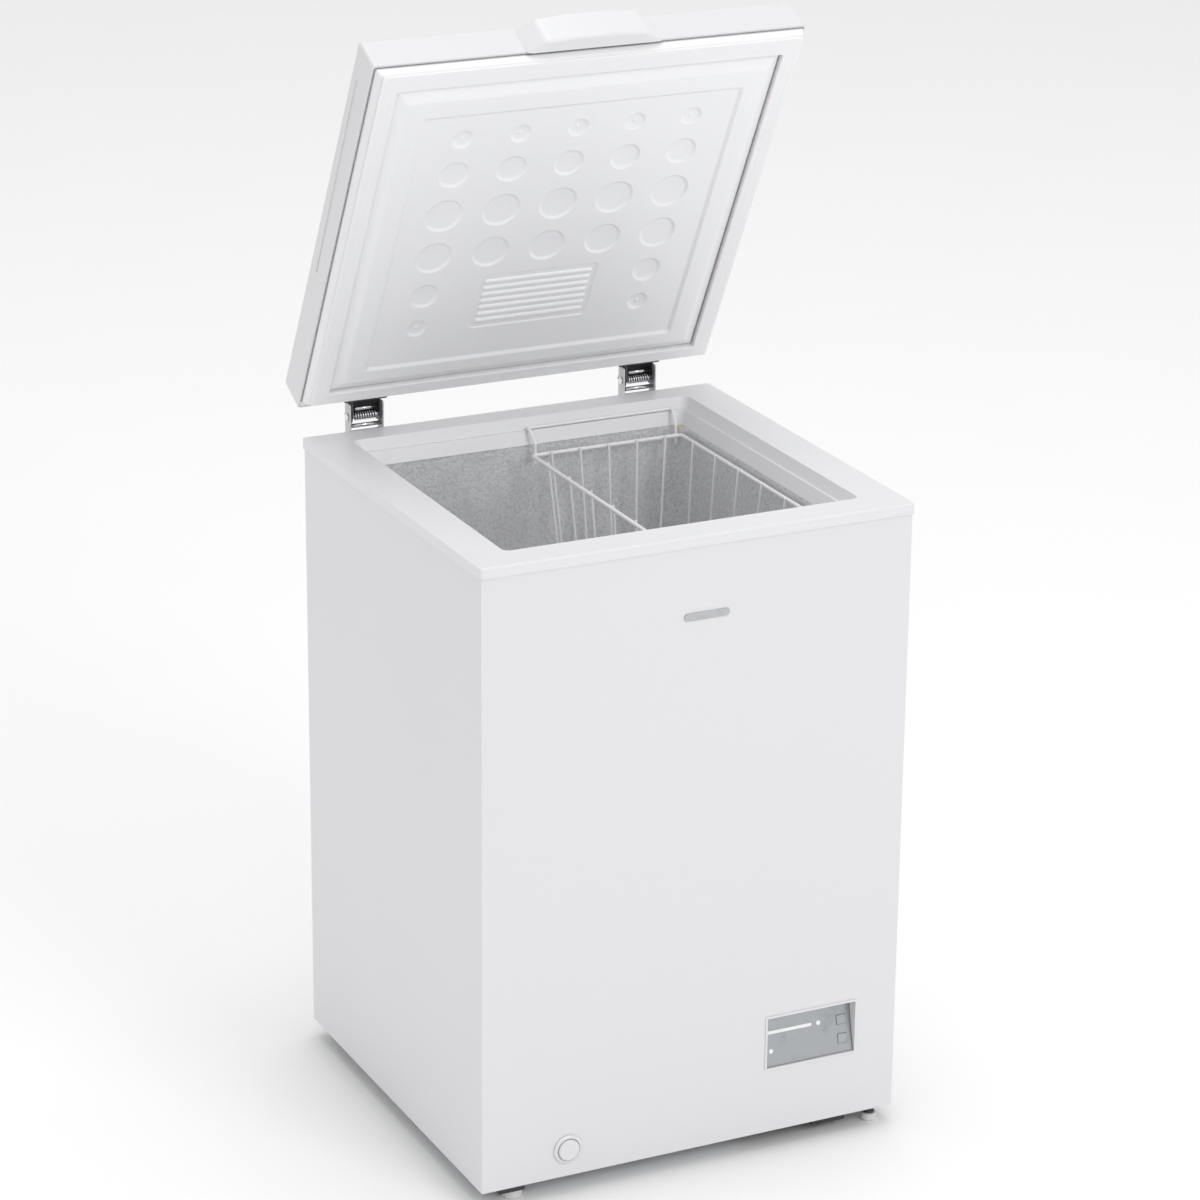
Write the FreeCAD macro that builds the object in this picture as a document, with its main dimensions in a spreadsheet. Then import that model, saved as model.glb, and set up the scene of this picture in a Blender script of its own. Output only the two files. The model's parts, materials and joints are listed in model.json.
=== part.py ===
import FreeCAD, Part
import math
import os
import re

import Sketcher
from FreeCAD import Placement, Rotation, Vector

# Chest freezer, about 100 litres. Millimetres, +Z up, -Y is the front, floor at z = 0.
# Every size below is written in the cabinet's frame: x and y from the middle of the cabinet.
# The row's origin lies on the floor under the middle of the whole open freezer, so the
# cabinet stands cabinet_centre_y away from it, and the lid is turned about its hinge line.

SIZES = (
    # cabinet
    ("cabinet_centre_y", -24.5, "middle of the cabinet, seen from the origin"),
    ("half_width", 269.9, "cabinet wrap, half its outside width"),
    ("half_depth", 255.4, "cabinet wrap, half its outside depth"),
    ("cabinet_bottom", 22, "lower edge of the cabinet above the floor"),
    ("wrap_top", 780, "upper edge of the painted wrap, inside the rim's skirt"),
    ("sheet", 0.8, "thickness of the painted steel"),
    ("plate", 1, "thickness of the galvanised bottom plate"),
    ("rim_half_width", 272.5, "top frame, half its outside width"),
    ("rim_half_depth", 258, "top frame, half its outside depth"),
    ("rim_top", 785, "top of the top frame"),
    ("rim_skirt", 12.5, "height of the top frame's skirt"),
    ("rim_wall", 3, "wall of the top frame"),
    ("skirt_gap", 0.3, "gap between the skirt and the wrap"),
    ("rim_radius", 5, "corner radius of the top frame in plan"),
    # throat: two slopes with a ledge between them
    ("mouth_half_width", 223.5, "throat at the top, half its width"),
    ("mouth_front", -214, "throat at the top, front edge"),
    ("mouth_rear", 222, "throat at the top, rear edge"),
    ("ledge_depth", 14, "ledge below the rim's top"),
    ("ledge_width", 3.2, "width of the ledge"),
    ("throat_depth", 30, "throat's lower edge below the rim's top"),
    ("slope", 0.445, "inward run of the throat for each millimetre down"),
    ("mouth_radius", 10, "corner radius of the throat"),
    # tank
    ("tank_half_width", 208.5, "tank inside, half its width"),
    ("tank_front", -199, "tank inside, front wall"),
    ("tank_rear", 207, "tank inside, rear wall"),
    ("tank_floor", 82, "tank inside, floor"),
    ("liner", 1, "thickness of the aluminium liner"),
    ("tank_radius", 30, "vertical corner radius of the tank"),
    ("liner_flange", 6, "width of the liner's turned-out edge"),
    ("step_side", 30, "side of the step over the machine compartment"),
    ("step_top", 262, "top of the step over the machine compartment"),
    # machine compartment
    ("bay_side", 76, "left wall of the machine compartment"),
    ("bay_top", 215, "top of the machine compartment"),
    ("tray", 2, "thickness of the compressor tray"),
    ("motor_x", 172, "compressor axis, x"),
    ("motor_y", 92, "compressor axis, y"),
    ("motor_radius", 70, "compressor shell radius"),
    ("motor_bottom", 44, "underside of the compressor shell"),
    ("motor_height", 150, "height of the compressor shell"),
    ("grommet_span_x", 74, "rubber mounts, half their spacing in x"),
    ("grommet_span_y", 52, "rubber mounts, half their spacing in y"),
    ("grommet_height", 14, "height of a rubber mount"),
    # pipes in the foam
    ("evaporator_radius", 4, "evaporator tube radius"),
    ("evaporator_top", 690, "highest evaporator run"),
    ("evaporator_pitch", 56, "height between evaporator runs"),
    ("condenser_radius", 2.5, "condenser tube radius"),
    ("condenser_top", 640, "highest condenser run"),
    ("condenser_pitch", 70, "height between condenser runs"),
    ("pipe_radius", 3, "radius of the pipes in the machine compartment"),
    # control panel
    ("panel_left", 98, "panel opening, left edge"),
    ("panel_width", 117.5, "panel opening, width"),
    ("panel_bottom", 105, "panel opening, lower edge"),
    ("panel_height", 65, "panel opening, height"),
    ("panel_lower_depth", 1.5, "depth of the fascia at its lower edge"),
    ("panel_upper_depth", 15.5, "depth of the fascia at its upper edge"),
    ("bezel_lip", 1.2, "how far the bezel stands out of the wrap"),
    ("bezel_wall", 1.5, "wall of the bezel"),
    ("fascia", 2, "thickness of the fascia"),
    ("button_side", 11, "side of a button"),
    ("button_gap", 0.35, "gap around a button"),
    ("button_x", 104, "middle of the buttons along the fascia"),
    ("button_upper_y", 40.5, "middle of the upper button up the fascia"),
    ("button_lower_y", 17.5, "middle of the lower button up the fascia"),
    ("button_proud", 0.9, "how far a button stands out of the fascia"),
    # drain
    ("drain_x", -161, "drain outlet, x"),
    ("drain_z", 56.7, "drain outlet, height"),
    ("drain_ring_radius", 18, "drain outlet flange radius"),
    ("drain_cap_radius", 13, "drain cap radius"),
    ("drain_tube_radius", 7, "drain tube outside radius"),
    ("drain_bore_radius", 5, "drain tube bore radius"),
    ("drain_inlet_y", -150, "drain hole in the tank floor, y"),
    # feet
    ("foot_left_x", -222, "left feet, x"),
    ("foot_left_y", 233, "left feet, distance in y from the middle"),
    ("foot_right_x", 249, "right feet, x"),
    ("foot_right_y", 238, "right feet, distance in y from the middle"),
    ("foot_pad_radius", 12, "radius of a left foot's pad"),
    ("foot_plate_width", 34, "width of the plate over a left foot"),
    ("foot_plate_depth", 42, "depth of the plate over a left foot"),
    ("foot_plate_inset", 3.4, "distance of a foot's plate from the wrap's front or back"),
    ("foot_collar_radius", 6.5, "radius of the collar over a right foot"),
    ("foot_small_radius", 9.5, "radius of a right foot"),
    ("foot_small_height", 9.5, "height of a right foot's pad"),
    ("foot_pad_height", 14, "height of a left foot's pad"),
    ("stud_radius", 4, "radius of a foot's stud"),
    # lid, written for the closed lid
    ("lid_open_angle", 62.4, "angle of the lid at rest"),
    ("hinge_y", 277.6, "hinge line, y"),
    ("hinge_z", 796.15, "hinge line, z"),
    ("lid_half_width", 272.5, "lid, half its width"),
    ("lid_front", -267.3, "lid, front face"),
    ("lid_rear", 255.9, "lid, rear face"),
    ("lid_gap", 15.5, "gap between the rim and the closed lid's shell"),
    ("lid_thickness", 45, "thickness of the lid's shell"),
    ("lid_wall", 2.2, "wall of the lid's shell"),
    ("lid_lip", 3, "height of the shell's thickened lower edge"),
    ("lid_corner", 5, "corner radius of the lid in plan"),
    ("lid_edge", 4, "radius of the lid's upper edge"),
    ("seam_radius", 3, "corner radius of the inner cover"),
    ("seam_half_width", 269.8, "inner cover, half its width"),
    ("seam_front", -264.6, "inner cover, front edge"),
    ("seam_rear", 253.2, "inner cover, rear edge"),
    ("cover", 2, "flange thickness of the inner cover"),
    ("raised_half_width", 226, "raised field, half its width"),
    ("raised_front", -218.6, "raised field, front edge"),
    ("raised_rear", 210, "raised field, rear edge"),
    ("raised_height", 15, "height of the raised field"),
    ("raised_slope_height", 6.5, "height of the raised field's sloping edge"),
    ("shelf_gap", 1, "groove between the raised field and the gasket"),
    ("field_half_width", 203, "sunk field, half its width"),
    ("field_front", -195, "sunk field, front edge"),
    ("field_rear", 194, "sunk field, rear edge"),
    ("field_depth", 3, "depth of the sunk field"),
    ("dimple_depth", 2.6, "depth of a dimple"),
    ("dimple_pitch", 72.7, "distance between dimple columns"),
    ("grille_half_width", 77, "ribbed panel in the sunk field, half its width"),
    ("grille_front", 62, "ribbed panel, front edge"),
    ("grille_rear", 146, "ribbed panel, rear edge"),
    ("grille_depth", 2.4, "depth of the ribbed panel's grooves"),
    ("gasket_height", 15.2, "height of the gasket"),
    ("gasket_base_half_width", 269.3, "gasket at the lid, half its outside width"),
    ("gasket_base_front", -264.1, "gasket at the lid, front edge"),
    ("gasket_base_rear", 246, "gasket at the lid, rear edge"),
    ("gasket_face_half_width", 263.5, "gasket's sealing face, half its outside width"),
    ("gasket_face_front", -261.5, "gasket's sealing face, front edge"),
    ("gasket_face_rear", 240, "gasket's sealing face, rear edge"),
    ("gasket_inner_half_width", 242.5, "gasket, half its inside width"),
    ("gasket_inner_front", -238, "gasket, inside front edge"),
    ("gasket_inner_rear", 224, "gasket, inside rear edge"),
    # handle
    ("handle_half_width", 85, "handle at the lid, half its width"),
    ("handle_shoulder_half_width", 62, "handle at its shoulders, half its width"),
    ("handle_shoulder_depth", 15, "depth of the handle at its shoulders"),
    ("handle_grip_half_width", 26, "handle at its front, half its width"),
    ("handle_depth", 18, "how far the handle stands out of the lid"),
    ("handle_low", 796, "lower edge of the handle"),
    ("handle_high", 840, "upper edge of the handle"),
    ("handle_wall", 3.4, "wall of the handle"),
    # hinges
    ("hinge_x", 183, "middle of a hinge from the middle of the lid"),
    ("hinge_sheet", 1.5, "thickness of the hinge steel"),
    ("bracket_half_width", 22, "hinge bracket, half its width"),
    ("bracket_low", 700, "lower end of a hinge bracket"),
    ("leaf_half_width", 19, "hinge leaf, half its width"),
    ("pin_radius", 3, "hinge pin radius"),
    ("pin_clearance", 0.05, "clearance of the pin in the leaf"),
    ("rod_radius", 2.5, "radius of the cross rods"),
    # basket
    ("basket_left", -1, "basket rim, left wire"),
    ("basket_right", 201, "basket rim, right wire"),
    ("basket_front", -182, "basket rim, front wire"),
    ("basket_rear", 190, "basket rim, rear wire"),
    ("basket_rim_z", 746, "basket rim, height"),
    ("basket_height", 190, "depth of the basket"),
    ("basket_taper", 16, "how far each wall leans in at the bottom"),
    ("rim_wire", 2.5, "radius of the rim and base wires"),
    ("grid_wire", 1.5, "radius of the upright and floor wires"),
    ("hanger_wire", 2, "radius of the hanger wires"),
    # badge
    ("badge_left", -21, "blank badge, left edge"),
    ("badge_width", 57, "blank badge, width"),
    ("badge_z", 685, "blank badge, lower edge"),
    ("badge_height", 9, "blank badge, height"),
    ("badge_thickness", 1.2, "blank badge, thickness"),
)

doc = FreeCAD.newDocument("chest_freezer")
sheet = doc.addObject("Spreadsheet::Sheet", "Dimensions")
for row, (alias, value, meaning) in enumerate(SIZES, start=1):
    sheet.set(f"A{row}", meaning)
    sheet.set(f"B{row}", str(value))
    sheet.setAlias(f"B{row}", alias)
doc.recompute()
ALIASES = {alias for alias, _, _ in SIZES}
NODES = {}


def size(alias):
    """One driving dimension, read from the sheet."""
    return float(sheet.get(alias))


def cells(expression):
    """A spreadsheet expression, from one written with the aliases alone."""
    def named(match):
        word = match.group()
        return f"Dimensions.{word}" if word in ALIASES else word
    return re.sub(r"[a-z][a-z_]*", named, str(expression))


def worth(expression):
    """The value of an expression, in millimetres."""
    return float(sheet.evalExpression(cells(expression)))


def bind(thing, prop, expression):
    thing.setExpression(prop, cells(expression))


IN_CABINET = Placement(Vector(0, size("cabinet_centre_y"), 0), Rotation())
HINGE_POINT = Vector(0, size("hinge_y"), size("hinge_z"))
LID_TURN = Rotation(Vector(-1, 0, 0), size("lid_open_angle"))
IN_LID = IN_CABINET.multiply(Placement(Vector(), LID_TURN, HINGE_POINT))
PANEL_TILT = math.degrees(
    math.atan2(size("panel_upper_depth") - size("panel_lower_depth"), size("panel_height"))
)
PANEL_LENGTH = size("panel_height") / math.cos(math.radians(PANEL_TILT))
PANEL_CORNER = Vector(
    size("panel_left"), size("panel_lower_depth") - size("half_depth"), size("panel_bottom")
)
IN_PANEL = IN_CABINET.multiply(
    Placement(PANEL_CORNER, Rotation(Vector(1, 0, 0), 90 - PANEL_TILT))
)
AXIS_TURN = {
    "x": Rotation(Vector(0, 1, 0), 90),
    "y": Rotation(Vector(1, 0, 0), -90),
    "z": Rotation(),
}


def node(label, thing, place=IN_CABINET):
    """Names a finished sub-part and puts it in its place."""
    thing.Label = label
    thing.Placement = place.multiply(thing.Placement)
    NODES[label] = thing
    return thing


def block(low, high):
    """A box between two corners, each a triple of expressions."""
    solid = doc.addObject("Part::Box", "Block")
    for side, axis, start, end in zip(("Length", "Width", "Height"), "xyz", low, high):
        bind(solid, side, f"({end}) - ({start})")
        bind(solid, f"Placement.Base.{axis}", start)
    return solid


def rod(axis, start, radius, length):
    """A cylinder that runs along an axis from a start point."""
    solid = doc.addObject("Part::Cylinder", "Rod")
    solid.Placement = Placement(Vector(), AXIS_TURN[axis])
    for letter, value in zip("xyz", start):
        bind(solid, f"Placement.Base.{letter}", value)
    bind(solid, "Radius", radius)
    bind(solid, "Height", length)
    return solid


def frustum(lower, upper):
    """A block with sloping sides. Each end is (low x, high x, low y, high y, z)."""
    solid = doc.addObject("Part::Wedge", "Frustum")
    for prop, value in zip(("Xmin", "Xmax", "Zmax", "Zmin", "Ymin"), lower):
        bind(solid, prop, f"-({value})" if prop[0] == "Z" else value)
    for prop, value in zip(("X2min", "X2max", "Z2max", "Z2min", "Ymax"), upper):
        bind(solid, prop, f"-({value})" if prop[0] == "Z" else value)
    solid.Placement = Placement(Vector(), Rotation(Vector(1, 0, 0), 90))
    return solid


def fuse(*parts):
    whole = doc.addObject("Part::MultiFuse", "Fusion")
    whole.Shapes = list(parts)
    return whole


def cut(base, *tools):
    result = doc.addObject("Part::Cut", "Cut")
    result.Base = base
    result.Tool = tools[0] if len(tools) == 1 else fuse(*tools)
    return result


def rounded(base, radius, wanted):
    """Rounds the edges of a part that a test picks."""
    doc.recompute()
    result = doc.addObject("Part::Fillet", "Rounded")
    result.Base = base
    picked = [i for i, edge in enumerate(base.Shape.Edges, start=1) if wanted(edge)]
    result.Edges = [(i, radius, radius) for i in picked]
    return result


def runs_along(axis):
    """A test for straight edges along an axis."""
    letter = "xyz".index(axis)

    def test(edge):
        ends = edge.Vertexes
        if len(ends) != 2 or edge.Curve.TypeId != "Part::GeomLine":
            return False
        along = ends[1].Point - ends[0].Point
        return abs(along[letter]) > 0.999 * along.Length
    return test


def at_height(z):
    """A test for edges that lie flat at a height."""
    def test(edge):
        box = edge.BoundBox
        return abs(box.ZMin - z) < 0.01 and abs(box.ZMax - z) < 0.01
    return test


def sloping(edge):
    """A test for edges that are not level."""
    return edge.BoundBox.ZLength > 1


def plane_of(body, role):
    return next(item for item in body.Origin.OriginFeatures if item.Role == role)


def outline(body, role, offset, points):
    """A closed polygon sketch. Each corner is a pair of expressions."""
    sketch = body.newObject("Sketcher::SketchObject", "Outline")
    sketch.AttachmentSupport = [(plane_of(body, role), "")]
    sketch.MapMode = "FlatFace"
    bind(sketch, "AttachmentOffset.Base.z", offset)
    count = len(points)
    spots = []
    for across, up in points:
        spots.append(Vector(worth(across), worth(up), 0))
    for i in range(count):
        sketch.addGeometry(Part.LineSegment(spots[i], spots[(i + 1) % count]), False)
    for i in range(count):
        sketch.addConstraint(Sketcher.Constraint("Coincident", i, 2, (i + 1) % count, 1))
    for i, (across, up) in enumerate(points):
        for kind, value, spot in (("DistanceX", across, spots[i].x), ("DistanceY", up, spots[i].y)):
            number = sketch.addConstraint(Sketcher.Constraint(kind, -1, 1, i, 1, spot))
            bind(sketch, f"Constraints[{number}]", value)
    return sketch


def extruded(points, role, offset, length, reverse=False):
    """A PartDesign body: a polygon padded off one of its origin planes."""
    body = doc.addObject("PartDesign::Body", "Body")
    sketch = outline(body, role, offset, points)
    pad = body.newObject("PartDesign::Pad", "Pad")
    pad.Profile = sketch
    pad.Reversed = reverse
    bind(pad, "Length", length)
    return body


def turned(profile, x=0, y=0, z=0, axis="z"):
    """A PartDesign body: a half profile of (radius, height) turned about its axis."""
    body = doc.addObject("PartDesign::Body", "Body")
    sketch = outline(body, "XZ_Plane", 0, profile)
    turn = body.newObject("PartDesign::Revolution", "Turn")
    turn.Profile = sketch
    turn.ReferenceAxis = (sketch, ["V_Axis"])
    turn.Angle = 360
    body.Placement = Placement(Vector(worth(x), worth(y), worth(z)), AXIS_TURN[axis])
    return body


def path_wire(points, radius):
    """Straight runs joined by tangent arcs of one radius."""
    edges = []
    start = points[0]
    for i in range(1, len(points) - 1):
        back = (points[i - 1] - points[i]).normalize()
        on = (points[i + 1] - points[i]).normalize()
        half_turn = (math.pi - back.getAngle(on)) / 2
        reach = radius * math.tan(half_turn)
        enter = points[i] + back * reach
        leave = points[i] + on * reach
        middle = (back + on).normalize()
        centre = points[i] + middle * (radius / math.cos(half_turn))
        edges.append(Part.LineSegment(start, enter).toShape())
        edges.append(Part.Arc(enter, centre - middle * radius, leave).toShape())
        start = leave
    edges.append(Part.LineSegment(start, points[-1]).toShape())
    return Part.Wire(edges)


def tube_shape(points, bend, radius):
    """A round bar along straight runs and tangent bends."""
    wire = path_wire(points, bend)
    first = wire.Edges[0]
    direction = first.tangentAt(first.FirstParameter)
    ring = Part.Wire(Part.Circle(points[0], direction, radius).toShape())
    return wire.makePipeShell([ring], True, False)


def feature(shape, name="Shape"):
    thing = doc.addObject("Part::Feature", name)
    thing.Shape = shape
    return thing


def ring_tube(low, high, bend, radius, z):
    """A closed rectangular ring of round bar in a level plane."""
    middle = Vector((low[0] + high[0]) / 2, low[1], z)
    corners = [
        Vector(high[0], low[1], z), Vector(high[0], high[1], z),
        Vector(low[0], high[1], z), Vector(low[0], low[1], z),
    ]
    halves = []
    far = Vector(middle.x, high[1], z)
    for points in ([middle, corners[0], corners[1], far], [far, corners[2], corners[3], middle]):
        halves.append(tube_shape(points, bend, radius))
    return halves[0].fuse(halves[1]).removeSplitter()


def serpentine(half_width, front, rear, top, pitch, runs, bend, radius):
    """A tube that passes to and fro round three walls, one level below the other."""
    points = []
    for run in range(runs):
        z = top - run * pitch
        loop = [
            Vector(-half_width, rear, z), Vector(-half_width, front, z),
            Vector(half_width, front, z), Vector(half_width, rear, z),
        ]
        points += loop if run % 2 == 0 else loop[::-1]
    return tube_shape(points, bend, radius)


# ---------------------------------------------------------------- cabinet shell

def make_outer_wrap():
    side, depth, wall = "half_width", "half_depth", "sheet"
    profile = extruded(
        [
            (f"-{side}", depth), (f"-{side}", f"-{depth}"), (side, f"-{depth}"), (side, depth),
            (f"{side} - {wall}", depth), (f"{side} - {wall}", f"{wall} - {depth}"),
            (f"{wall} - {side}", f"{wall} - {depth}"), (f"{wall} - {side}", depth),
        ],
        "XY_Plane", "cabinet_bottom", "wrap_top - cabinet_bottom",
    )
    window = block(
        ("panel_left - bezel_wall", "-half_depth - 5", "panel_bottom - bezel_wall"),
        (
            "panel_left + panel_width + bezel_wall", "5 - half_depth",
            "panel_bottom + panel_height + bezel_wall",
        ),
    )
    drain = rod("y", ("drain_x", "-half_depth - 5", "drain_z"), "drain_tube_radius", 10)
    return node("outer_wrap", cut(profile, window, drain))


def make_rear_panel():
    inner = "half_width - sheet"
    return node("rear_panel", extruded(
        [
            (f"-({inner})", "cabinet_bottom + plate"), ("bay_side", "cabinet_bottom + plate"),
            ("bay_side", "bay_top"), (inner, "bay_top"), (inner, "wrap_top"),
            (f"-({inner})", "wrap_top"),
        ],
        "XZ_Plane", "-half_depth", "sheet",
    ))


def make_bottom_plate():
    inner = "half_width - sheet"
    sheet_body = extruded(
        [
            (f"-({inner})", "cabinet_bottom"), ("bay_side", "cabinet_bottom"),
            ("bay_side", "bay_top - plate"), (inner, "bay_top - plate"), (inner, "bay_top"),
            ("bay_side - plate", "bay_top"), ("bay_side - plate", "cabinet_bottom + plate"),
            (f"-({inner})", "cabinet_bottom + plate"),
        ],
        "XZ_Plane", "-(half_depth - sheet)", "2 * (half_depth - sheet)",
    )
    holes = [
        rod("z", ("foot_left_x", y, "cabinet_bottom - 5"), "stud_radius + 0.3", 10)
        for y in ("foot_left_y", "-foot_left_y")
    ]
    return node("bottom_plate", cut(sheet_body, *holes))


def throat_block(rise, grow, low_extra):
    """The space inside the throat, grown outwards, and taken lower or higher."""
    levels = []
    ledge = f"(ledge_depth + {grow})"
    for depth, shrink in (("0", ""), (ledge, ""), (ledge, " + ledge_width"),
                          ("throat_depth", " + ledge_width")):
        inset = f"{depth} * slope{shrink} - ({grow})"
        levels.append((
            f"{inset} - mouth_half_width", f"mouth_half_width - ({inset})",
            f"mouth_front + {inset}", f"mouth_rear - ({inset})", f"rim_top - {depth}",
        ))
    upper = frustum(levels[1], levels[0])
    lower = frustum(levels[3], levels[2])
    radius = size("mouth_radius") + grow
    stack = [rounded(upper, radius, sloping), rounded(lower, radius, sloping)]
    x0, x1, y0, y1, z0 = levels[0]
    if rise:
        cap = block((x0, y0, z0), (x1, y1, f"{z0} + {rise}"))
        stack.append(rounded(cap, radius, sloping))
    x0, x1, y0, y1, z0 = levels[3]
    if low_extra:
        foot = block((x0, y0, f"{z0} - {low_extra}"), (x1, y1, z0))
        stack.append(rounded(foot, radius, sloping))
    return fuse(*stack)


def make_top_frame():
    rim = rounded(
        block(
            ("-rim_half_width", "-rim_half_depth", "rim_top - rim_skirt"),
            ("rim_half_width", "rim_half_depth", "rim_top"),
        ),
        size("rim_radius"), runs_along("z"),
    )
    rim = rounded(rim, 1.5, at_height(size("rim_top")))
    hollow = block(
        ("-half_width - skirt_gap", "-half_depth - skirt_gap", "rim_top - rim_skirt - 1"),
        ("half_width + skirt_gap", "half_depth + skirt_gap", "rim_top - rim_wall"),
    )
    plain_rim = cut(rim, hollow)
    collar = cut(throat_block(0, size("rim_wall"), 0), block(
        ("-rim_half_width", "-rim_half_depth", "rim_top - rim_wall / 2"),
        ("rim_half_width", "rim_half_depth", "rim_top + 5"),
    ))
    return node("top_frame", cut(fuse(plain_rim, collar), throat_block(2, 0, 2)))


# ---------------------------------------------------------------- tank and foam

def tank_block(grow, top):
    """The tank's inside, grown by a wall, with the step over the machine compartment."""
    space = rounded(
        block(
            (f"-tank_half_width - {grow}", f"tank_front - {grow}", f"tank_floor - {grow}"),
            (f"tank_half_width + {grow}", f"tank_rear + {grow}", top),
        ),
        size("tank_radius") + worth(grow), runs_along("z"),
    )
    step = block(
        (f"step_side + {grow}", "-half_depth", "cabinet_bottom"),
        ("half_width", "half_depth", f"step_top - {grow}"),
    )
    return cut(space, step)


TANK_TOP = "rim_top - throat_depth"


def liner_flange():
    """The liner's turned-out edge, on which the throat stands."""
    wide = "liner_flange"
    return block(
        (f"-tank_half_width - {wide}", f"tank_front - {wide}", f"{TANK_TOP} - 0.2 - liner"),
        (f"tank_half_width + {wide}", f"tank_rear + {wide}", f"{TANK_TOP} - 0.2"),
    )


def make_tank_liner():
    drain = rod("z", ("drain_x", "drain_inlet_y", "tank_floor - 5"), "drain_tube_radius", 10)
    shell = fuse(tank_block("liner", f"{TANK_TOP} - 0.2"), liner_flange())
    return node("tank_liner", cut(shell, tank_block(0, f"{TANK_TOP} + 2"), drain))


def make_evaporator():
    side = size("tank_half_width") + size("liner") + size("evaporator_radius") + 0.3
    front = size("tank_front") - (side - size("tank_half_width"))
    rear = size("tank_rear") - size("tank_radius")
    shape = serpentine(
        side, front, rear, size("evaporator_top"), size("evaporator_pitch"), 7,
        size("evaporator_pitch") / 2 - 1, size("evaporator_radius"),
    )
    return node("evaporator_tube", feature(shape))


def make_condenser():
    side = size("half_width") - size("sheet") - size("condenser_radius") - 0.3
    front = -(size("half_depth") - size("sheet") - size("condenser_radius") - 0.3)
    rear = size("half_depth") - 40
    shape = serpentine(
        side, front, rear, size("condenser_top"), size("condenser_pitch"), 6,
        size("condenser_pitch") / 2 - 15, size("condenser_radius"),
    )
    return node("condenser_tube", feature(shape))


def make_foam(tubes, drain_channel):
    inner_x, inner_y = "half_width - sheet", "half_depth - sheet"
    slab = block(
        (f"-({inner_x})", f"-({inner_y})", "cabinet_bottom + plate"),
        (inner_x, inner_y, "rim_top - rim_wall"),
    )
    bay = block(
        ("bay_side - plate", "-half_depth", "cabinet_bottom"), ("half_width", "half_depth", "bay_top")
    )
    mouth = throat_block(0, size("rim_wall"), 0)
    studs = [
        rod("z", ("foot_left_x", y, "cabinet_bottom"), "stud_radius + 0.3", 20)
        for y in ("foot_left_y", "-foot_left_y")
    ]
    grooves = []
    for tube in tubes:
        groove = feature(tube.Shape.copy())
        groove.Placement = IN_CABINET.inverse().multiply(groove.Placement)
        grooves.append(groove)
    tank = tank_block("liner", f"{TANK_TOP} + 1")
    foam = cut(slab, bay, mouth, tank, liner_flange(), drain_channel, *studs, *grooves)
    return node("foam_body", foam)


def make_drain_tube():
    x, z = size("drain_x"), size("drain_z")
    inlet = Vector(x, size("drain_inlet_y"), size("tank_floor"))
    elbow = Vector(x, size("drain_inlet_y"), z)
    outlet = Vector(x, -size("half_depth"), z)
    outside = tube_shape([inlet, elbow, outlet], 12, size("drain_tube_radius"))
    bore = tube_shape(
        [inlet + Vector(0, 0, 1), elbow, outlet - Vector(0, 1, 0)], 12, size("drain_bore_radius")
    )
    node("drain_tube", feature(outside.cut(bore)))
    return feature(outside)


def make_drain_parts():
    facing_out = Rotation(Vector(1, 0, 0), 90)
    ring = turned([
        ("drain_bore_radius", 0), ("drain_ring_radius", 0), ("drain_ring_radius", 2),
        ("drain_ring_radius - 2.5", 3.6), ("drain_cap_radius + 1.5", 3.6),
        ("drain_cap_radius + 0.4", 1.6), ("drain_bore_radius", 1.6),
    ])
    cap = turned([
        (0, -12), ("drain_bore_radius - 0.3", -12), ("drain_bore_radius - 0.3", 1.9),
        ("drain_cap_radius", 1.9), ("drain_cap_radius", 4.4), ("drain_cap_radius - 1.5", 5.6),
        (0, 5.6),
    ])
    spot = Placement(Vector(size("drain_x"), -size("half_depth"), size("drain_z")), facing_out)
    node("drain_ring", ring, IN_CABINET.multiply(spot))
    node("drain_cap", cap, IN_CABINET.multiply(spot))
    plug = turned(
        [
            (0, -9), ("drain_bore_radius - 0.3", -9), ("drain_bore_radius - 0.3", 0.3),
            ("2.6 * drain_bore_radius", 0.3), ("2.6 * drain_bore_radius", 3),
            ("0.9 * drain_bore_radius", 5), ("0.9 * drain_bore_radius", 9), (0, 10),
        ],
        "drain_x", "drain_inlet_y", "tank_floor",
    )
    node("drain_plug", plug)


# ---------------------------------------------------------------- machine compartment

def mount_spots():
    return [
        (size("motor_x") + i * size("grommet_span_x"), size("motor_y") + j * size("grommet_span_y"))
        for i in (-1, 1) for j in (-1, 1)
    ]


def make_compressor_tray():
    inner_x, inner_y = "half_width - sheet - 0.2", "half_depth - sheet - 0.5"
    tray = block(
        ("bay_side + 0.2", f"-({inner_y})", "cabinet_bottom"), (inner_x, inner_y, "cabinet_bottom + tray")
    )
    lip = block(
        ("panel_left + 69", f"-({inner_y}) + 8", "cabinet_bottom - 11"),
        ("panel_left + 113", f"-({inner_y}) + 22", "cabinet_bottom"),
    )
    lip_hollow = block(
        ("panel_left + 71", f"-({inner_y}) + 10", "cabinet_bottom - 9"),
        ("panel_left + 111", f"-({inner_y}) + 30", "cabinet_bottom"),
    )
    holes = [
        rod("z", ("foot_right_x", y, "cabinet_bottom - 5"), "stud_radius + 0.3", 20)
        for y in ("foot_right_y", "-foot_right_y")
    ]
    return node("compressor_tray", cut(fuse(tray, cut(lip, lip_hollow)), *holes))


def make_tray_screws():
    shapes = []
    for x in (126.5, 146):
        for y in (-244, 244):
            head = Part.makeCylinder(4.5, 4, Vector(x, y, size("cabinet_bottom") - 4))
            washer = Part.makeCylinder(6, 1, Vector(x, y, size("cabinet_bottom") - 1))
            shapes.append(head.fuse(washer).removeSplitter())
    return node("tray_screws", feature(Part.makeCompound(shapes)))


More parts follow.
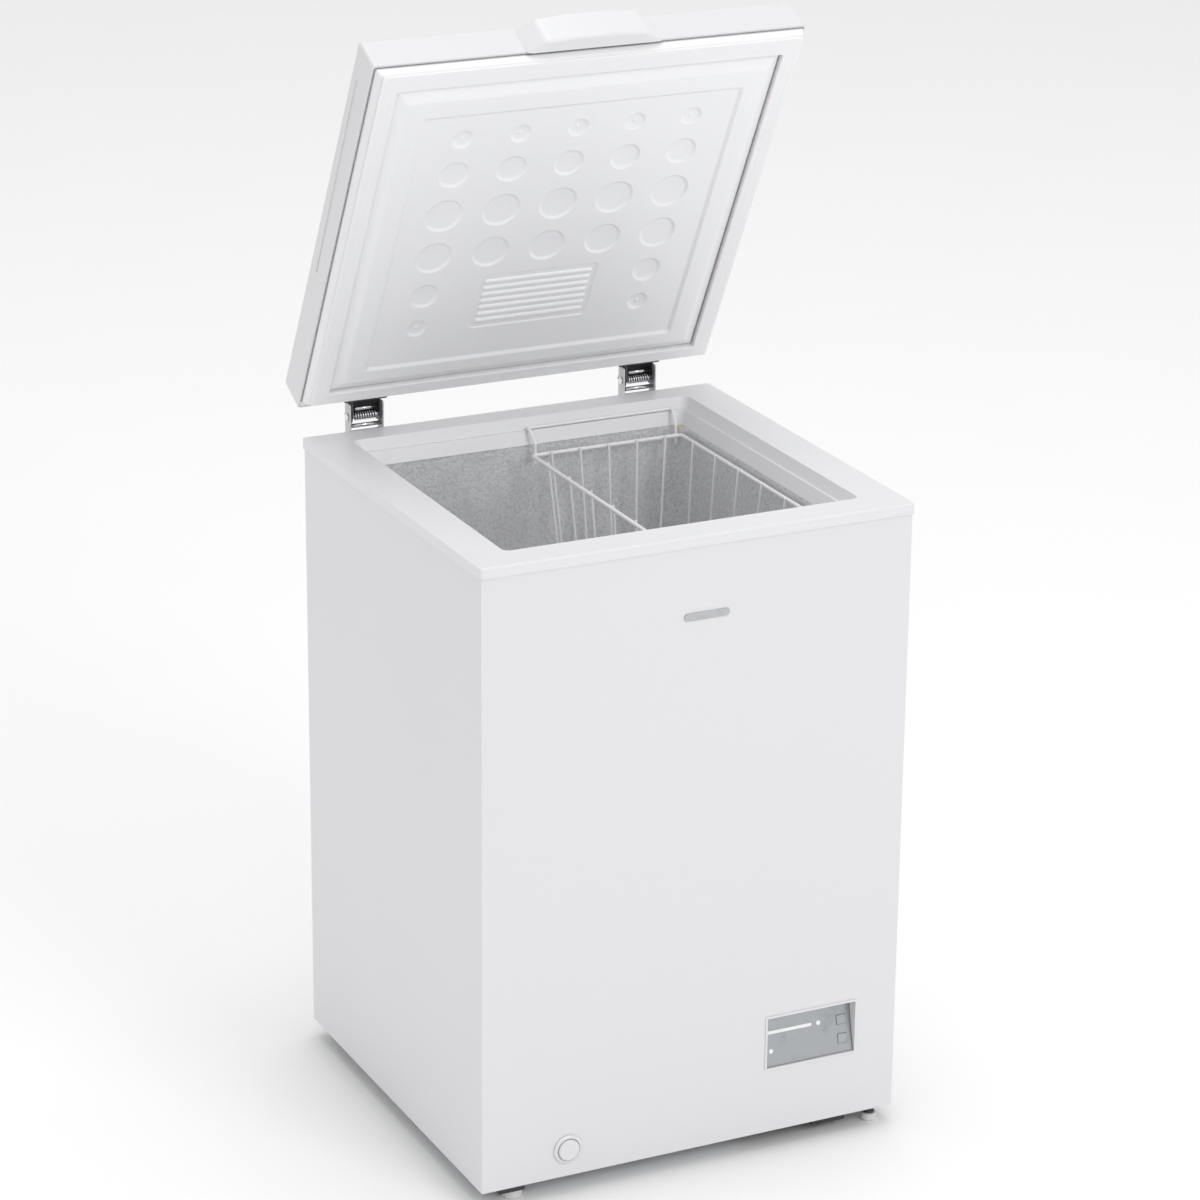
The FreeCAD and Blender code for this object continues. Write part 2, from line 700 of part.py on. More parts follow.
def make_grommets():
    base = size("cabinet_bottom") + size("tray")
    shapes = []
    for x, y in mount_spots():
        body = Part.makeCylinder(11, size("grommet_height"), Vector(x, y, base))
        groove = Part.makeCylinder(20, 3, Vector(x, y, base + 5)).cut(
            Part.makeCylinder(8.5, 3, Vector(x, y, base + 5)))
        shapes.append(body.cut(groove))
    return node("compressor_grommets", feature(Part.makeCompound(shapes)))


def make_compressor():
    shell = turned(
        [
            (0, 0), ("motor_radius - 26", 0), ("motor_radius - 8", 12), ("motor_radius", 30),
            ("motor_radius", 84), ("motor_radius + 4", 86), ("motor_radius + 4", 92),
            ("motor_radius", 94), ("motor_radius", 112), ("motor_radius - 8", 134),
            ("motor_radius - 28", "motor_height - 2"), (0, "motor_height"),
        ],
        "motor_x", "motor_y", "motor_bottom",
    )
    top = "cabinet_bottom + tray + grommet_height"
    plate = rounded(
        block(
            ("motor_x - grommet_span_x - 14", "motor_y - grommet_span_y - 14", top),
            ("motor_x + grommet_span_x + 14", "motor_y + grommet_span_y + 14", f"{top} + 3"),
        ),
        12, runs_along("z"),
    )
    saddle = rod("z", ("motor_x", "motor_y", f"{top} + 3"), "motor_radius - 30", 10)
    stub = rod("z", ("motor_x", "motor_y - motor_radius + 22", "motor_bottom + 110"), 5, 45)
    return node("compressor", fuse(shell, plate, saddle, stub))


def make_terminal_cover():
    x, y, z = "motor_x", "motor_y - motor_radius", "motor_bottom + 34"
    box = rounded(
        block((f"{x} - 27", f"{y} - 24", z), (f"{x} + 27", f"{y} + 14", f"{z} + 46")),
        4, runs_along("z"),
    )
    keep_out = rod("z", (x, "motor_y", "motor_bottom"), "motor_radius + 0.3", "motor_height")
    ribs = [
        block((f"{x} - {18 - 12 * i}", f"{y} - 25", f"{z} + 8"),
              (f"{x} - {14 - 12 * i}", f"{y} - 23", f"{z} + 38"))
        for i in range(4)
    ]
    return node("terminal_cover", cut(box, keep_out, *ribs))


def make_filter_drier():
    return node("filter_drier", turned(
        [
            (0, 0), ("pipe_radius", 0), ("pipe_radius", 8), (10, 18), (10, 78),
            ("pipe_radius", 90), ("pipe_radius", 98), (0, 98),
        ],
        "bay_side + 24", "motor_y - 150", "cabinet_bottom + 52",
    ))


def make_pipes():
    x, y = size("motor_x"), size("motor_y")
    radius = size("pipe_radius")
    ceiling = size("bay_top") - size("plate")
    stub_top = size("motor_bottom") + 155
    suction = tube_shape(
        [
            Vector(x, y - size("motor_radius") + 22, stub_top),
            Vector(x, y - size("motor_radius") + 22, ceiling - 5),
            Vector(x, y - size("motor_radius") - 40, ceiling - 5),
            Vector(x - 60, y - size("motor_radius") - 60, ceiling - 25),
            Vector(x - 60, y - size("motor_radius") - 60, ceiling),
        ],
        4, radius,
    )
    drier_x, drier_y = size("bay_side") + 24, y - 150
    drier_low = size("cabinet_bottom") + 52
    discharge = tube_shape(
        [
            Vector(drier_x, drier_y, drier_low),
            Vector(drier_x, drier_y, drier_low - 18),
            Vector(x + 60, drier_y, drier_low - 18),
            Vector(x + 60, y - size("motor_radius") - 1, drier_low + 4),
            Vector(x + 30, y - size("motor_radius") + 8, drier_low + 4),
        ],
        9, radius,
    )
    keep_out = Part.makeCylinder(
        size("motor_radius"), size("motor_height"), Vector(x, y, size("motor_bottom")))
    node("suction_pipe", feature(suction))
    node("discharge_pipe", feature(discharge.cut(keep_out)))


def make_compartment_cover():
    low, high = "cabinet_bottom + 3", "bay_top + 12"
    cover = rounded(
        block(("bay_side - 12", "half_depth", low), ("half_width - 2", "half_depth + 6", high)),
        4, runs_along("y"),
    )
    hollow = block(
        ("bay_side - 10.5", "half_depth - 1", f"{low} + 1.5"),
        ("half_width - 3.5", "half_depth + 4.5", f"{high} - 1.5"),
    )
    slots = [
        block(
            (f"bay_side + {2 + column * 92}", "half_depth", f"{low} + {24 + row * 16}"),
            (f"bay_side + {82 + column * 92}", "half_depth + 10", f"{low} + {30 + row * 16}"),
        )
        for column in range(2) for row in range(10)
    ]
    gland = rod("y", ("half_width - 24", "half_depth", f"{low} + 13"), 6, 10)
    return node("compartment_cover", cut(cover, hollow, *slots, gland))


def make_cord_gland():
    gland = turned([
        (3.6, -4), (5.7, -4), (5.7, 5.7), (9, 5.7), (9, 8), (6.5, 13), (5.2, 13), (3.6, 11),
    ])
    facing_back = Rotation(Vector(1, 0, 0), -90)
    spot = Vector(
        size("half_width") - 24, size("half_depth") + 0.5, size("cabinet_bottom") + 16
    )
    return node("cord_gland", gland, IN_CABINET.multiply(Placement(spot, facing_back)))


# ---------------------------------------------------------------- control panel

def make_bezel():
    x0, x1 = "panel_left", "panel_left + panel_width"
    z0, z1 = "panel_bottom", "panel_bottom + panel_height"
    back = "panel_upper_depth + 4 - half_depth"
    flange = rounded(
        block(
            (f"{x0} - 2.5", "-half_depth - bezel_lip", f"{z0} - 2.5"),
            (f"{x1} + 2.5", "-half_depth", f"{z1} + 2.5"),
        ),
        2, runs_along("y"),
    )
    sleeve = block(
        (f"{x0} - bezel_wall", "-half_depth - 0.1", f"{z0} - bezel_wall"),
        (f"{x1} + bezel_wall", back, f"{z1} + bezel_wall"),
    )
    hole = block((x0, "-half_depth - 5", z0), (x1, f"{back} + 5", z1))
    return node("panel_bezel", cut(fuse(flange, sleeve), hole))


BUTTON_ROWS = {"button_upper": "button_upper_y", "button_lower": "button_lower_y"}
LAMPS = {"lamp_upper": (74, 41.7, 3), "lamp_lower": (8.6, 19, 3)}
LED_BAR = (3.8, 39.7, 64.6, 43.7)


def make_fascia():
    plate = block((0.2, 0.7, "-fascia"), ("panel_width - 0.2", PANEL_LENGTH - 0.4, 0))
    holes = []
    half = "button_side / 2 + button_gap"
    for middle in BUTTON_ROWS.values():
        holes.append(block(
            (f"button_x - ({half})", f"{middle} - ({half})", "-fascia - 1"),
            (f"button_x + {half}", f"{middle} + {half}", 1),
        ))
    for x, y, radius in LAMPS.values():
        holes.append(rod("z", (x, y, "-fascia - 1"), radius, 6))
    x0, y0, x1, y1 = LED_BAR
    holes.append(block((x0, y0, "-fascia - 1"), (x1, y1, 1)))
    node("panel_fascia", cut(plate, *holes), IN_PANEL)

    bar = rounded(block((x0, y0, "-fascia"), (x1, y1, 0.4)), 0.3, at_height(0.4))
    node("led_bar", bar, IN_PANEL)
    lenses = [
        turned([(0, "-fascia"), (radius, "-fascia"), (radius, 0), (radius - 1, 0.5), (0, 0.6)], x, y)
        for x, y, radius in LAMPS.values()
    ]
    group = doc.addObject("Part::Compound", "Lenses")
    group.Links = lenses
    node("indicator_lenses", group, IN_PANEL)


def make_buttons():
    half = "button_side / 2"
    for label, middle in BUTTON_ROWS.items():
        cap = block(
            (f"button_x - {half}", f"{middle} - {half}", "-fascia - 2"),
            (f"button_x + {half}", f"{middle} + {half}", "button_proud"),
        )
        capped = rounded(cap, 1.2, runs_along("z"))
        node(label, rounded(capped, 0.4, at_height(size("button_proud"))), IN_PANEL)


def make_control_board():
    board = block((6, 6, "-fascia - 10"), ("panel_width - 6", PANEL_LENGTH - 6, "-fascia - 8.4"))
    parts = [board]
    for middle in BUTTON_ROWS.values():
        parts.append(block(
            ("button_x - 3", f"{middle} - 3", "-fascia - 8.4"),
            ("button_x + 3", f"{middle} + 3", "-fascia - 5"),
        ))
        parts.append(rod("z", ("button_x", middle, "-fascia - 5"), 1.7, 1.6))
    parts.append(block((20, 8, "-fascia - 18"), (50, 26, "-fascia - 10")))
    parts.append(block((58, 10, "-fascia - 14"), (76, 24, "-fascia - 10")))
    for x in (8, "panel_width - 8"):
        for y in (9, PANEL_LENGTH - 9):
            parts.append(rod("z", (x, y, "-fascia - 8.4"), 2, 8.4))
    return node("control_board", fuse(*parts), IN_PANEL)


# ---------------------------------------------------------------- feet and badge

def make_feet():
    """Screwed feet with round pads, and the plates and collars over them."""
    stem_top = "cabinet_bottom + 16"
    pads = {"left": ("foot_pad_radius", "foot_pad_height"),
            "right": ("foot_small_radius", "foot_small_height")}
    for name, sign in (("front", "-"), ("rear", "")):
        for side, (radius, height) in pads.items():
            foot = turned(
                [
                    (0, 0), (f"{radius} - 1.5", 0), (radius, 1.5), (radius, f"{height} - 1.5"),
                    (f"{radius} - 1.5", height), ("stud_radius", height),
                    ("stud_radius", stem_top), (0, stem_top),
                ],
                f"foot_{side}_x", f"{sign}foot_{side}_y", 0,
            )
            node(f"{name}_{side}_foot", foot)
    low, high = "foot_pad_height + 0.3", "cabinet_bottom"
    near = "half_depth - foot_plate_inset"
    spans = ((f"-({near})", f"foot_plate_depth - ({near})"), (f"{near} - foot_plate_depth", near))
    covers = []
    for sign, (start, end) in zip(("-", ""), spans):
        plate = rounded(
            block(
                ("foot_left_x + 9 - foot_plate_width", start, low), ("foot_left_x + 9", end, high)
            ),
            3, runs_along("z"),
        )
        hole = rod("z", ("foot_left_x", f"{sign}foot_left_y", 0), "stud_radius + 0.3", 40)
        covers.append(cut(plate, hole))
        covers.append(turned(
            [
                ("stud_radius + 0.3", "foot_small_height + 0.3"),
                ("foot_collar_radius", "foot_small_height + 0.3"),
                ("foot_collar_radius", high), ("stud_radius + 0.3", high),
            ],
            "foot_right_x", f"{sign}foot_right_y", 0,
        ))
    group = doc.addObject("Part::Compound", "Covers")
    group.Links = covers
    node("foot_flanges", group)


def make_badge():
    plaque = block(
        ("badge_left", "-half_depth - badge_thickness", "badge_z"),
        ("badge_left + badge_width", "-half_depth", "badge_z + badge_height"),
    )
    return node("badge", rounded(plaque, size("badge_height") / 2 - 0.2, runs_along("y")))


# ---------------------------------------------------------------- hinges

SIDES = {"left": -1, "right": 1}


def hinge_place(side, frame):
    return frame.multiply(Placement(Vector(SIDES[side] * size("hinge_x"), 0, 0), Rotation()))


def cheeks(points, half_width, top_radius):
    """Two upright plates, one each side of a hinge, with rounded tops."""
    plates = []
    for offset in (f"{half_width} - hinge_sheet", f"-{half_width}"):
        body = extruded(points, "YZ_Plane", offset, "hinge_sheet")
        doc.recompute()
        top = body.Shape.BoundBox.ZMax

        def at_top(edge, level=top):
            box = edge.BoundBox
            return box.XLength > 1 and abs(box.ZMin - level) < 0.01 and box.ZLength < 0.01
        plates.append(rounded(body, top_radius, at_top))
    return plates


def make_hinge_bracket(side):
    x = "bracket_half_width"
    head = 8
    top = "hinge_z + 17"
    walls = cheeks(
        [
            ("half_depth", "bracket_low"), (f"hinge_y + {head}", "bracket_low"),
            (f"hinge_y + {head}", top), (f"hinge_y - {head}", top),
            (f"hinge_y - {head}", "rim_top - rim_skirt - 3"), ("half_depth", "rim_top - rim_skirt - 12"),
        ],
        x, 2.5,
    )
    web = block(
        (f"-{x}", f"hinge_y + {head} - hinge_sheet", "bracket_low"),
        (x, f"hinge_y + {head}", "hinge_z - 20"),
    )
    flange = rounded(
        block(
            (f"-{x} - 14", "half_depth", "bracket_low + 4"),
            (f"{x} + 14", "half_depth + hinge_sheet", "rim_top - rim_skirt - 14"),
        ),
        4, runs_along("y"),
    )
    stop = rod("x", (f"-{x}", "hinge_y - 2", "hinge_z - 11.2"), "rod_radius", f"2 * {x}")
    pin_hole = rod("x", (-40, "hinge_y", "hinge_z"), "pin_radius", 80)
    screws = [
        rod("y", (x_place, "half_depth - 5", z_place), 2.1, 12)
        for x_place in (f"-{x} - 7", f"{x} + 7") for z_place in ("bracket_low + 12", "bracket_low + 46")
    ]
    bracket = cut(fuse(*walls, web, flange, stop), pin_hole, *screws)
    return node(f"hinge_bracket_{side}", bracket, hinge_place(side, IN_CABINET))


def make_hinge_leaf(side):
    x = "leaf_half_width"
    ears = cheeks(
        [
            ("lid_rear", "hinge_z + 5"), ("hinge_y - 7", "hinge_z - 6.5"),
            ("hinge_y + 5", "hinge_z - 6.5"), ("hinge_y + 9.5", "hinge_z"),
            ("hinge_y + 9.5", "hinge_z + 14"), ("lid_rear", "hinge_z + 14"),
        ],
        x, 1,
    )
    top = block(
        (f"-{x}", "lid_rear", "hinge_z + 14 - hinge_sheet"), (x, "hinge_y + 9.5", "hinge_z + 14")
    )
    back = block(
        (f"-{x}", "hinge_y + 9.5 - hinge_sheet", "hinge_z + 6"), (x, "hinge_y + 9.5", "hinge_z + 14")
    )
    flange = rounded(
        block(
            (f"-{x} - 10", "lid_rear", "hinge_z + 4"),
            (f"{x} + 10", "lid_rear + hinge_sheet", "hinge_z + 40"),
        ),
        4, runs_along("y"),
    )
    bar = rod("x", (f"-{x}", "hinge_y - 9.1", "hinge_z + 3.6"), "rod_radius", f"2 * {x}")
    pin_hole = rod("x", (-40, "hinge_y", "hinge_z"), "pin_radius + pin_clearance", 80)
    screws = [
        rod("y", (x_place, "lid_rear - 5", z_place), 2.1, 12)
        for x_place in (f"-{x} + 8", f"{x} - 8") for z_place in ("hinge_z + 20", "hinge_z + 33")
    ]
    leaf = cut(fuse(*ears, top, back, flange, bar), pin_hole, *screws)
    return node(f"hinge_leaf_{side}", leaf, hinge_place(side, IN_LID))


def make_hinge_pin(side):
    reach = "bracket_half_width + 0.5"
    shaft = rod("x", (f"-({reach})", "hinge_y", "hinge_z"), "pin_radius", f"2 * ({reach})")
    heads = [
        rod("x", (start, "hinge_y", "hinge_z"), "pin_radius + 1.6", 1.6)
        for start in (f"-({reach}) - 1.3", f"{reach} - 0.3")
    ]
    return node(f"hinge_pin_{side}", fuse(shaft, *heads), hinge_place(side, IN_CABINET))


def make_hinge_spring(side):
    wire_radius, coil_radius, turns = 0.9, 4.9, 9
    pitch = 3.2
    helix = Part.makeHelix(pitch, pitch * turns, coil_radius)
    start = Vector(coil_radius, 0, 0)
    ring = Part.Wire(Part.Circle(start, Vector(0, coil_radius, pitch / 6.28), wire_radius).toShape())
    coil = Part.Wire(helix).makePipeShell([ring], True, True)
    lying = Placement(
        Vector(-pitch * turns / 2, size("hinge_y"), size("hinge_z")), AXIS_TURN["x"]
    )
    spring = feature(coil)
    spring.Placement = lying
    return node(f"hinge_spring_{side}", spring, hinge_place(side, IN_CABINET))


def screw_shape(spot, direction, head_radius, shank):
    """A pan-head screw: its head stands on a face at a spot and its shank goes in."""
    head = Part.makeCylinder(head_radius, 1.6, spot, direction)
    crown = Part.makeCone(head_radius, head_radius * 0.55, 1, spot + direction * 1.6, direction)
    stem = Part.makeCylinder(2, shank, spot, direction * -1)
    return head.fuse(crown).fuse(stem).removeSplitter()


def make_hinge_screws():
    back = Vector(0, 1, 0)
    body_screws, lid_screws = [], []
    for sign in SIDES.values():
        for i in (-1, 1):
            for j in (12, 46):
                x = sign * size("hinge_x") + i * (size("bracket_half_width") + 7)
                face = size("half_depth") + size("hinge_sheet")
                spot = Vector(x, face, size("bracket_low") + j)
                body_screws.append(screw_shape(spot, back, 4, size("hinge_sheet")))
            for j in (20, 33):
                x = sign * size("hinge_x") + i * (size("leaf_half_width") - 8)
                spot = Vector(x, size("lid_rear") + size("hinge_sheet"), size("hinge_z") + j)
                lid_screws.append(screw_shape(spot, back, 4, size("hinge_sheet")))
    node("bracket_screws", feature(Part.makeCompound(body_screws)))
    node("leaf_screws", feature(Part.makeCompound(lid_screws)), IN_LID)


# ---------------------------------------------------------------- lid, drawn closed

LID_BASE = "rim_top + lid_gap"
LID_TOP = f"{LID_BASE} + lid_thickness"


def lid_cavity():
    """The room inside the lid's shell, with the opening at its lower edge."""
    wall = "lid_wall"
    room = rounded(
        block(
            (f"{wall} - lid_half_width", f"lid_front + {wall}", f"{LID_BASE} + lid_lip"),
            (f"lid_half_width - {wall}", f"lid_rear - {wall}", f"{LID_TOP} - {wall}"),
        ),
        size("lid_corner") - size("lid_wall"), runs_along("z"),
    )
    opening = rounded(
        block(
            ("-seam_half_width", "seam_front", f"{LID_BASE} + cover"),
            ("seam_half_width", "seam_rear", f"{LID_BASE} + lid_lip + 1"),
        ),
        size("seam_radius"), runs_along("z"),
    )
    return fuse(room, opening)


def make_lid_shell():
    shell = rounded(
        block(
            ("-lid_half_width", "lid_front", LID_BASE), ("lid_half_width", "lid_rear", LID_TOP)
        ),
        size("lid_corner"), runs_along("z"),
    )
    shell = rounded(shell, size("lid_edge"), at_height(worth(LID_TOP)))
    shell = rounded(shell, size("lid_lip") / 2, at_height(worth(LID_BASE)))
    mouth = rounded(
        block(
            ("-seam_half_width", "seam_front", f"{LID_BASE} - 1"),
            ("seam_half_width", "seam_rear", f"{LID_BASE} + cover"),
        ),
        size("seam_radius"), runs_along("z"),
    )
    strips = []
    for side in ("-", ""):
        strip = extruded(
            [
                (-222, f"{LID_TOP} - 14"), (-226, f"{LID_TOP} - 19"), (-226, f"{LID_TOP} - 27"),
                (-222, f"{LID_TOP} - 31"), (60, f"{LID_TOP} - 22"), (60, f"{LID_TOP} - 18"),
            ],
            "YZ_Plane", f"{side}lid_half_width - 1.2", "2.4",
        )
        strips.append(strip)
    return node("lid_outer_shell", cut(shell, lid_cavity(), mouth, *strips), IN_LID)


def make_lid_foam():
    return node("lid_foam", lid_cavity(), IN_LID)


def dimple(x, y, radius, floor):
    """A shallow round dish of a given mouth radius, sunk into a floor."""
    depth = size("dimple_depth")
    ball = (radius ** 2 + depth ** 2) / (2 * depth)
    dish = doc.addObject("Part::Sphere", "Dish")
    bind(dish, "Radius", ball)
    dish.Placement = Placement(Vector(x, y, floor + depth - ball), Rotation())
    return dish


DIMPLE_ROWS = (
    (-156, 13, (-2, -1, 0, 1, 2)), (-103, 19, (-2, -1, 0, 1, 2)), (-41, 24, (-2, -1, 0, 1, 2)),
    (24, 23, (-2, -1, 0, 1, 2)), (84, 18, (-2, 2)), (135, 13, (-2, 2)),
)


def make_lid_cover():
    flange = rounded(
        block(
            ("0.3 - seam_half_width", "seam_front + 0.3", LID_BASE),
            ("seam_half_width - 0.3", "seam_rear - 0.3", f"{LID_BASE} + cover"),
        ),
        size("seam_radius") - 0.3, runs_along("z"),
    )
    face = f"{LID_BASE} - raised_height"
    shelf = (
        "shelf_gap - gasket_inner_half_width", "gasket_inner_half_width - shelf_gap",
        "gasket_inner_front + shelf_gap", "gasket_inner_rear - shelf_gap",
    )
    foot_of_slope = f"{face} + raised_slope_height"
    slope = frustum(
        ("-raised_half_width", "raised_half_width", "raised_front", "raised_rear", face),
        (*shelf, foot_of_slope),
    )
    x0, x1, y0, y1 = shelf
    wall = block((x0, y0, foot_of_slope), (x1, y1, LID_BASE))
    raised = fuse(rounded(slope, 7, sloping), rounded(wall, 2, runs_along("z")))
    sunk = frustum(
        ("-field_half_width", "field_half_width", "field_front", "field_rear", face),
        (
            "5 - field_half_width", "field_half_width - 5", "field_front + 5", "field_rear - 5",
            f"{face} + field_depth",
        ),
    )
    floor = worth(f"{face} + field_depth")
    dishes = [
        dimple(column * size("dimple_pitch"), y, radius, floor)
        for y, radius, columns in DIMPLE_ROWS for column in columns
    ]
    grooves = []
    count = 7
    pitch = (size("grille_rear") - size("grille_front") - 8) / count
    for i in range(count):
        y = size("grille_front") + 4 + i * pitch
        grooves.append(block(
            ("6 - grille_half_width", y, floor - 1),
            ("grille_half_width - 6", y + pitch * 0.55, floor + size("grille_depth")),
        ))
    pan = block(
        ("-grille_half_width", "grille_front", floor - 1),
        ("grille_half_width", "grille_rear", floor + 0.8),
    )
    field = cut(fuse(flange, raised), sunk, *dishes, *grooves, pan)
    return node("lid_inner_cover", field, IN_LID)


def make_gasket():
    low, high = f"{LID_BASE} - gasket_height", LID_BASE
    outside = frustum(
        (
            "-gasket_face_half_width", "gasket_face_half_width", "gasket_face_front",
            "gasket_face_rear", low,
        ),
        (
            "-gasket_base_half_width", "gasket_base_half_width", "gasket_base_front",
            "gasket_base_rear", high,
        ),
    )
    inside = block(
        ("-gasket_inner_half_width", "gasket_inner_front", f"{low} - 1"),
        ("gasket_inner_half_width", "gasket_inner_rear", f"{high} + 1"),
    )
    ring = cut(rounded(outside, 3, sloping), rounded(inside, 2, runs_along("z")))
    return node("lid_gasket", ring, IN_LID)


def make_handle():
    """A hollow moulding with gently curved shoulders, open towards the lid."""
    front = "lid_front - handle_depth"
    half = [
        ("handle_half_width", "lid_front"),
        ("handle_shoulder_half_width", "lid_front - handle_shoulder_depth"),
        ("handle_grip_half_width", front),
    ]
    bar = extruded(
        [(f"-{x}", y) for x, y in half] + half[::-1],
        "XY_Plane", "handle_low", "handle_high - handle_low",
    )

    def at_front_corner(edge):
        return runs_along("z")(edge) and edge.BoundBox.YMax < size("lid_front") - 1

    def round_the_ends(edge):
        level = at_height(size("handle_high"))(edge) or at_height(size("handle_low"))(edge)
        return level and edge.BoundBox.YMin < size("lid_front") - 1

    body = rounded(rounded(bar, 20, at_front_corner), 4, round_the_ends)
    hollow = block(
        ("handle_wall - handle_shoulder_half_width", f"{front} + 2 * handle_wall",
         "handle_low + handle_wall + 1"),
        ("handle_shoulder_half_width - handle_wall", "lid_front + 1",
         "handle_high - handle_wall - 1"),
    )
    return node("lid_handle", cut(body, hollow), IN_LID)


# ---------------------------------------------------------------- basket

WELD = 0.2
BASKET_CORNER_GAP = {"side": 38, "end": 24}
CROSS_WIRE_SHARE = 0.3


def basket_corners(level):
    """Low and high corners of the basket's wires, at its rim (0) or its base (1)."""
    lean = size("basket_taper") * level
    low = (size("basket_left") + lean, size("basket_front") + lean)
    high = (size("basket_right") - lean, size("basket_rear") - lean)
    return low, high


def straight(start, end, radius):
    return Part.makeCylinder(radius, (end - start).Length, start, end - start)


def wall_grid(across, far):
    """One basket wall: uprights welded inside the rim and base wires, and a cross wire."""
    along = 1 - across
    inward = -1 if far else 1
    rim, base = basket_corners(0), basket_corners(1)
    rim_z = size("basket_rim_z")
    base_z = rim_z - size("basket_height")
    wire, thin = size("rim_wire"), size("grid_wire")
    top_at = rim[far][across] + inward * (wire + thin - 2 * WELD)
    foot_at = base[far][across] + inward * (wire + thin)
    middle = (rim[0][along] + rim[1][along]) / 2
    corner_gap = BASKET_CORNER_GAP["end" if across else "side"]
    half_top = (rim[1][along] - rim[0][along]) / 2 - corner_gap
    half_foot = (base[1][along] - base[0][along]) / 2 - corner_gap
    uprights = 5 if across else 6

    def spot(across_at, along_at, z):
        return Vector(along_at, across_at, z) if across else Vector(across_at, along_at, z)

    wires = []
    for i in range(uprights):
        place = 2 * i / (uprights - 1) - 1
        wires.append(straight(
            spot(foot_at, middle + place * half_foot, base_z - wire),
            spot(top_at, middle + place * half_top, rim_z + wire), thin,
        ))
    share = CROSS_WIRE_SHARE
    z = base_z + share * (rim_z - base_z)
    at = foot_at + (top_at - foot_at) * share + inward * 2 * (thin - WELD / 2)
    reach = (rim[1][along] - rim[0][along]) / 2 - size("basket_taper") * (1 - share) - 10
    wires.append(straight(spot(at, middle - reach, z), spot(at, middle + reach, z), thin))
    return wires[0].multiFuse(wires[1:])


def floor_grid():
    """The basket's floor: wires under the base ring, and three cross wires under those."""
    low, high = basket_corners(1)
    wire, thin = size("rim_wire"), size("grid_wire")
    level = size("basket_rim_z") - size("basket_height") - wire - thin + WELD
    under = level - 2 * thin + WELD
    wires = []
    for i in range(7):
        x = low[0] + 20 + i * (high[0] - low[0] - 40) / 6
        wires.append(straight(Vector(x, low[1] - wire, level), Vector(x, high[1] + wire, level), thin))
    for i in range(3):
        y = low[1] + 60 + i * (high[1] - low[1] - 120) / 2
        wires.append(straight(Vector(low[0], y, under), Vector(high[0], y, under), thin))
    return wires[0].multiFuse(wires[1:])


def make_basket():
    rim_z = size("basket_rim_z")
    wire = size("rim_wire")
    for name, level in (("basket_rim", 0), ("basket_base_ring", 1)):
        low, high = basket_corners(level)
        ring = ring_tube(low, high, 6, wire, rim_z - level * size("basket_height"))
        node(name, feature(ring))
    for name, (across, far) in {
        "left": (0, 0), "right": (0, 1), "front": (1, 0), "rear": (1, 1),
    }.items():
        node(f"basket_wall_{name}", feature(wall_grid(across, far)))
    node("basket_floor", feature(floor_grid()))


def make_hangers():
    """A wire loop at each end of the basket, which rises from the rim and lies on the ledge."""
    thick = size("hanger_wire")
    ledge_z = size("rim_top") - size("ledge_depth") + thick + 0.3
    slope_run = size("ledge_depth") * size("slope")
    rest = {
        "front": (size("mouth_front") + slope_run + thick, size("basket_front"), 1),
        "rear": (size("mouth_rear") - slope_run - thick, size("basket_rear"), -1),
    }
    rim_z = size("basket_rim_z")
    left, right = size("basket_left"), size("basket_right")
    for name, (hook_y, rim_y, inward) in rest.items():
        outer_y = rim_y - inward * (size("rim_wire") + thick - WELD)
        half = [
            (6, outer_y, rim_z - 12), (6, outer_y, rim_z + 12),
            (4, hook_y + inward * 7, ledge_z), (3, hook_y, ledge_z),
        ]
        points = [Vector(left + inset, y, z) for inset, y, z in half]
        points += [Vector(right - inset, y, z) for inset, y, z in half[::-1]]
        node(f"basket_hanger_{name}", feature(tube_shape(points, 4, thick)))


# ---------------------------------------------------------------- the whole freezer

make_outer_wrap()
make_rear_panel()
make_bottom_plate()
make_top_frame()
make_tank_liner()
evaporator = make_evaporator()
condenser = make_condenser()
drain_channel = make_drain_tube()
make_drain_parts()
doc.recompute()
make_foam([evaporator, condenser], drain_channel)
make_compressor_tray()
make_tray_screws()
make_grommets()
make_compressor()
make_terminal_cover()
make_filter_drier()
make_pipes()
make_compartment_cover()
make_cord_gland()
make_bezel()
make_fascia()
make_buttons()
make_control_board()
make_feet()
make_badge()
for side in SIDES:
    make_hinge_bracket(side)
    make_hinge_leaf(side)
    make_hinge_pin(side)
    make_hinge_spring(side)
make_hinge_screws()
make_lid_shell()
make_lid_foam()
make_lid_cover()
make_gasket()
make_handle()
make_basket()
make_hangers()
doc.recompute()

for thing in doc.Objects:
    if "Invalid" in thing.State or "Error" in thing.State:
        raise RuntimeError(f"{thing.Name} ({thing.Label}) failed: {thing.State}")
os.makedirs("parts", exist_ok=True)
for label, thing in NODES.items():
    shape = thing.Shape
    if shape.isNull() or not shape.isValid() or shape.Volume <= 0:
        raise RuntimeError(f"{label} has no valid solid")
    shape.exportStep(f"parts/{label}.step")
    box = shape.BoundBox
    print(f"{label:22s} {len(shape.Solids):3d} solids {shape.Volume / 1000:9.1f} cm3"
          f"  x {box.XMin:7.1f} {box.XMax:7.1f}  y {box.YMin:7.1f} {box.YMax:7.1f}"
          f"  z {box.ZMin:7.1f} {box.ZMax:7.1f}")
print(len(NODES), "parts")
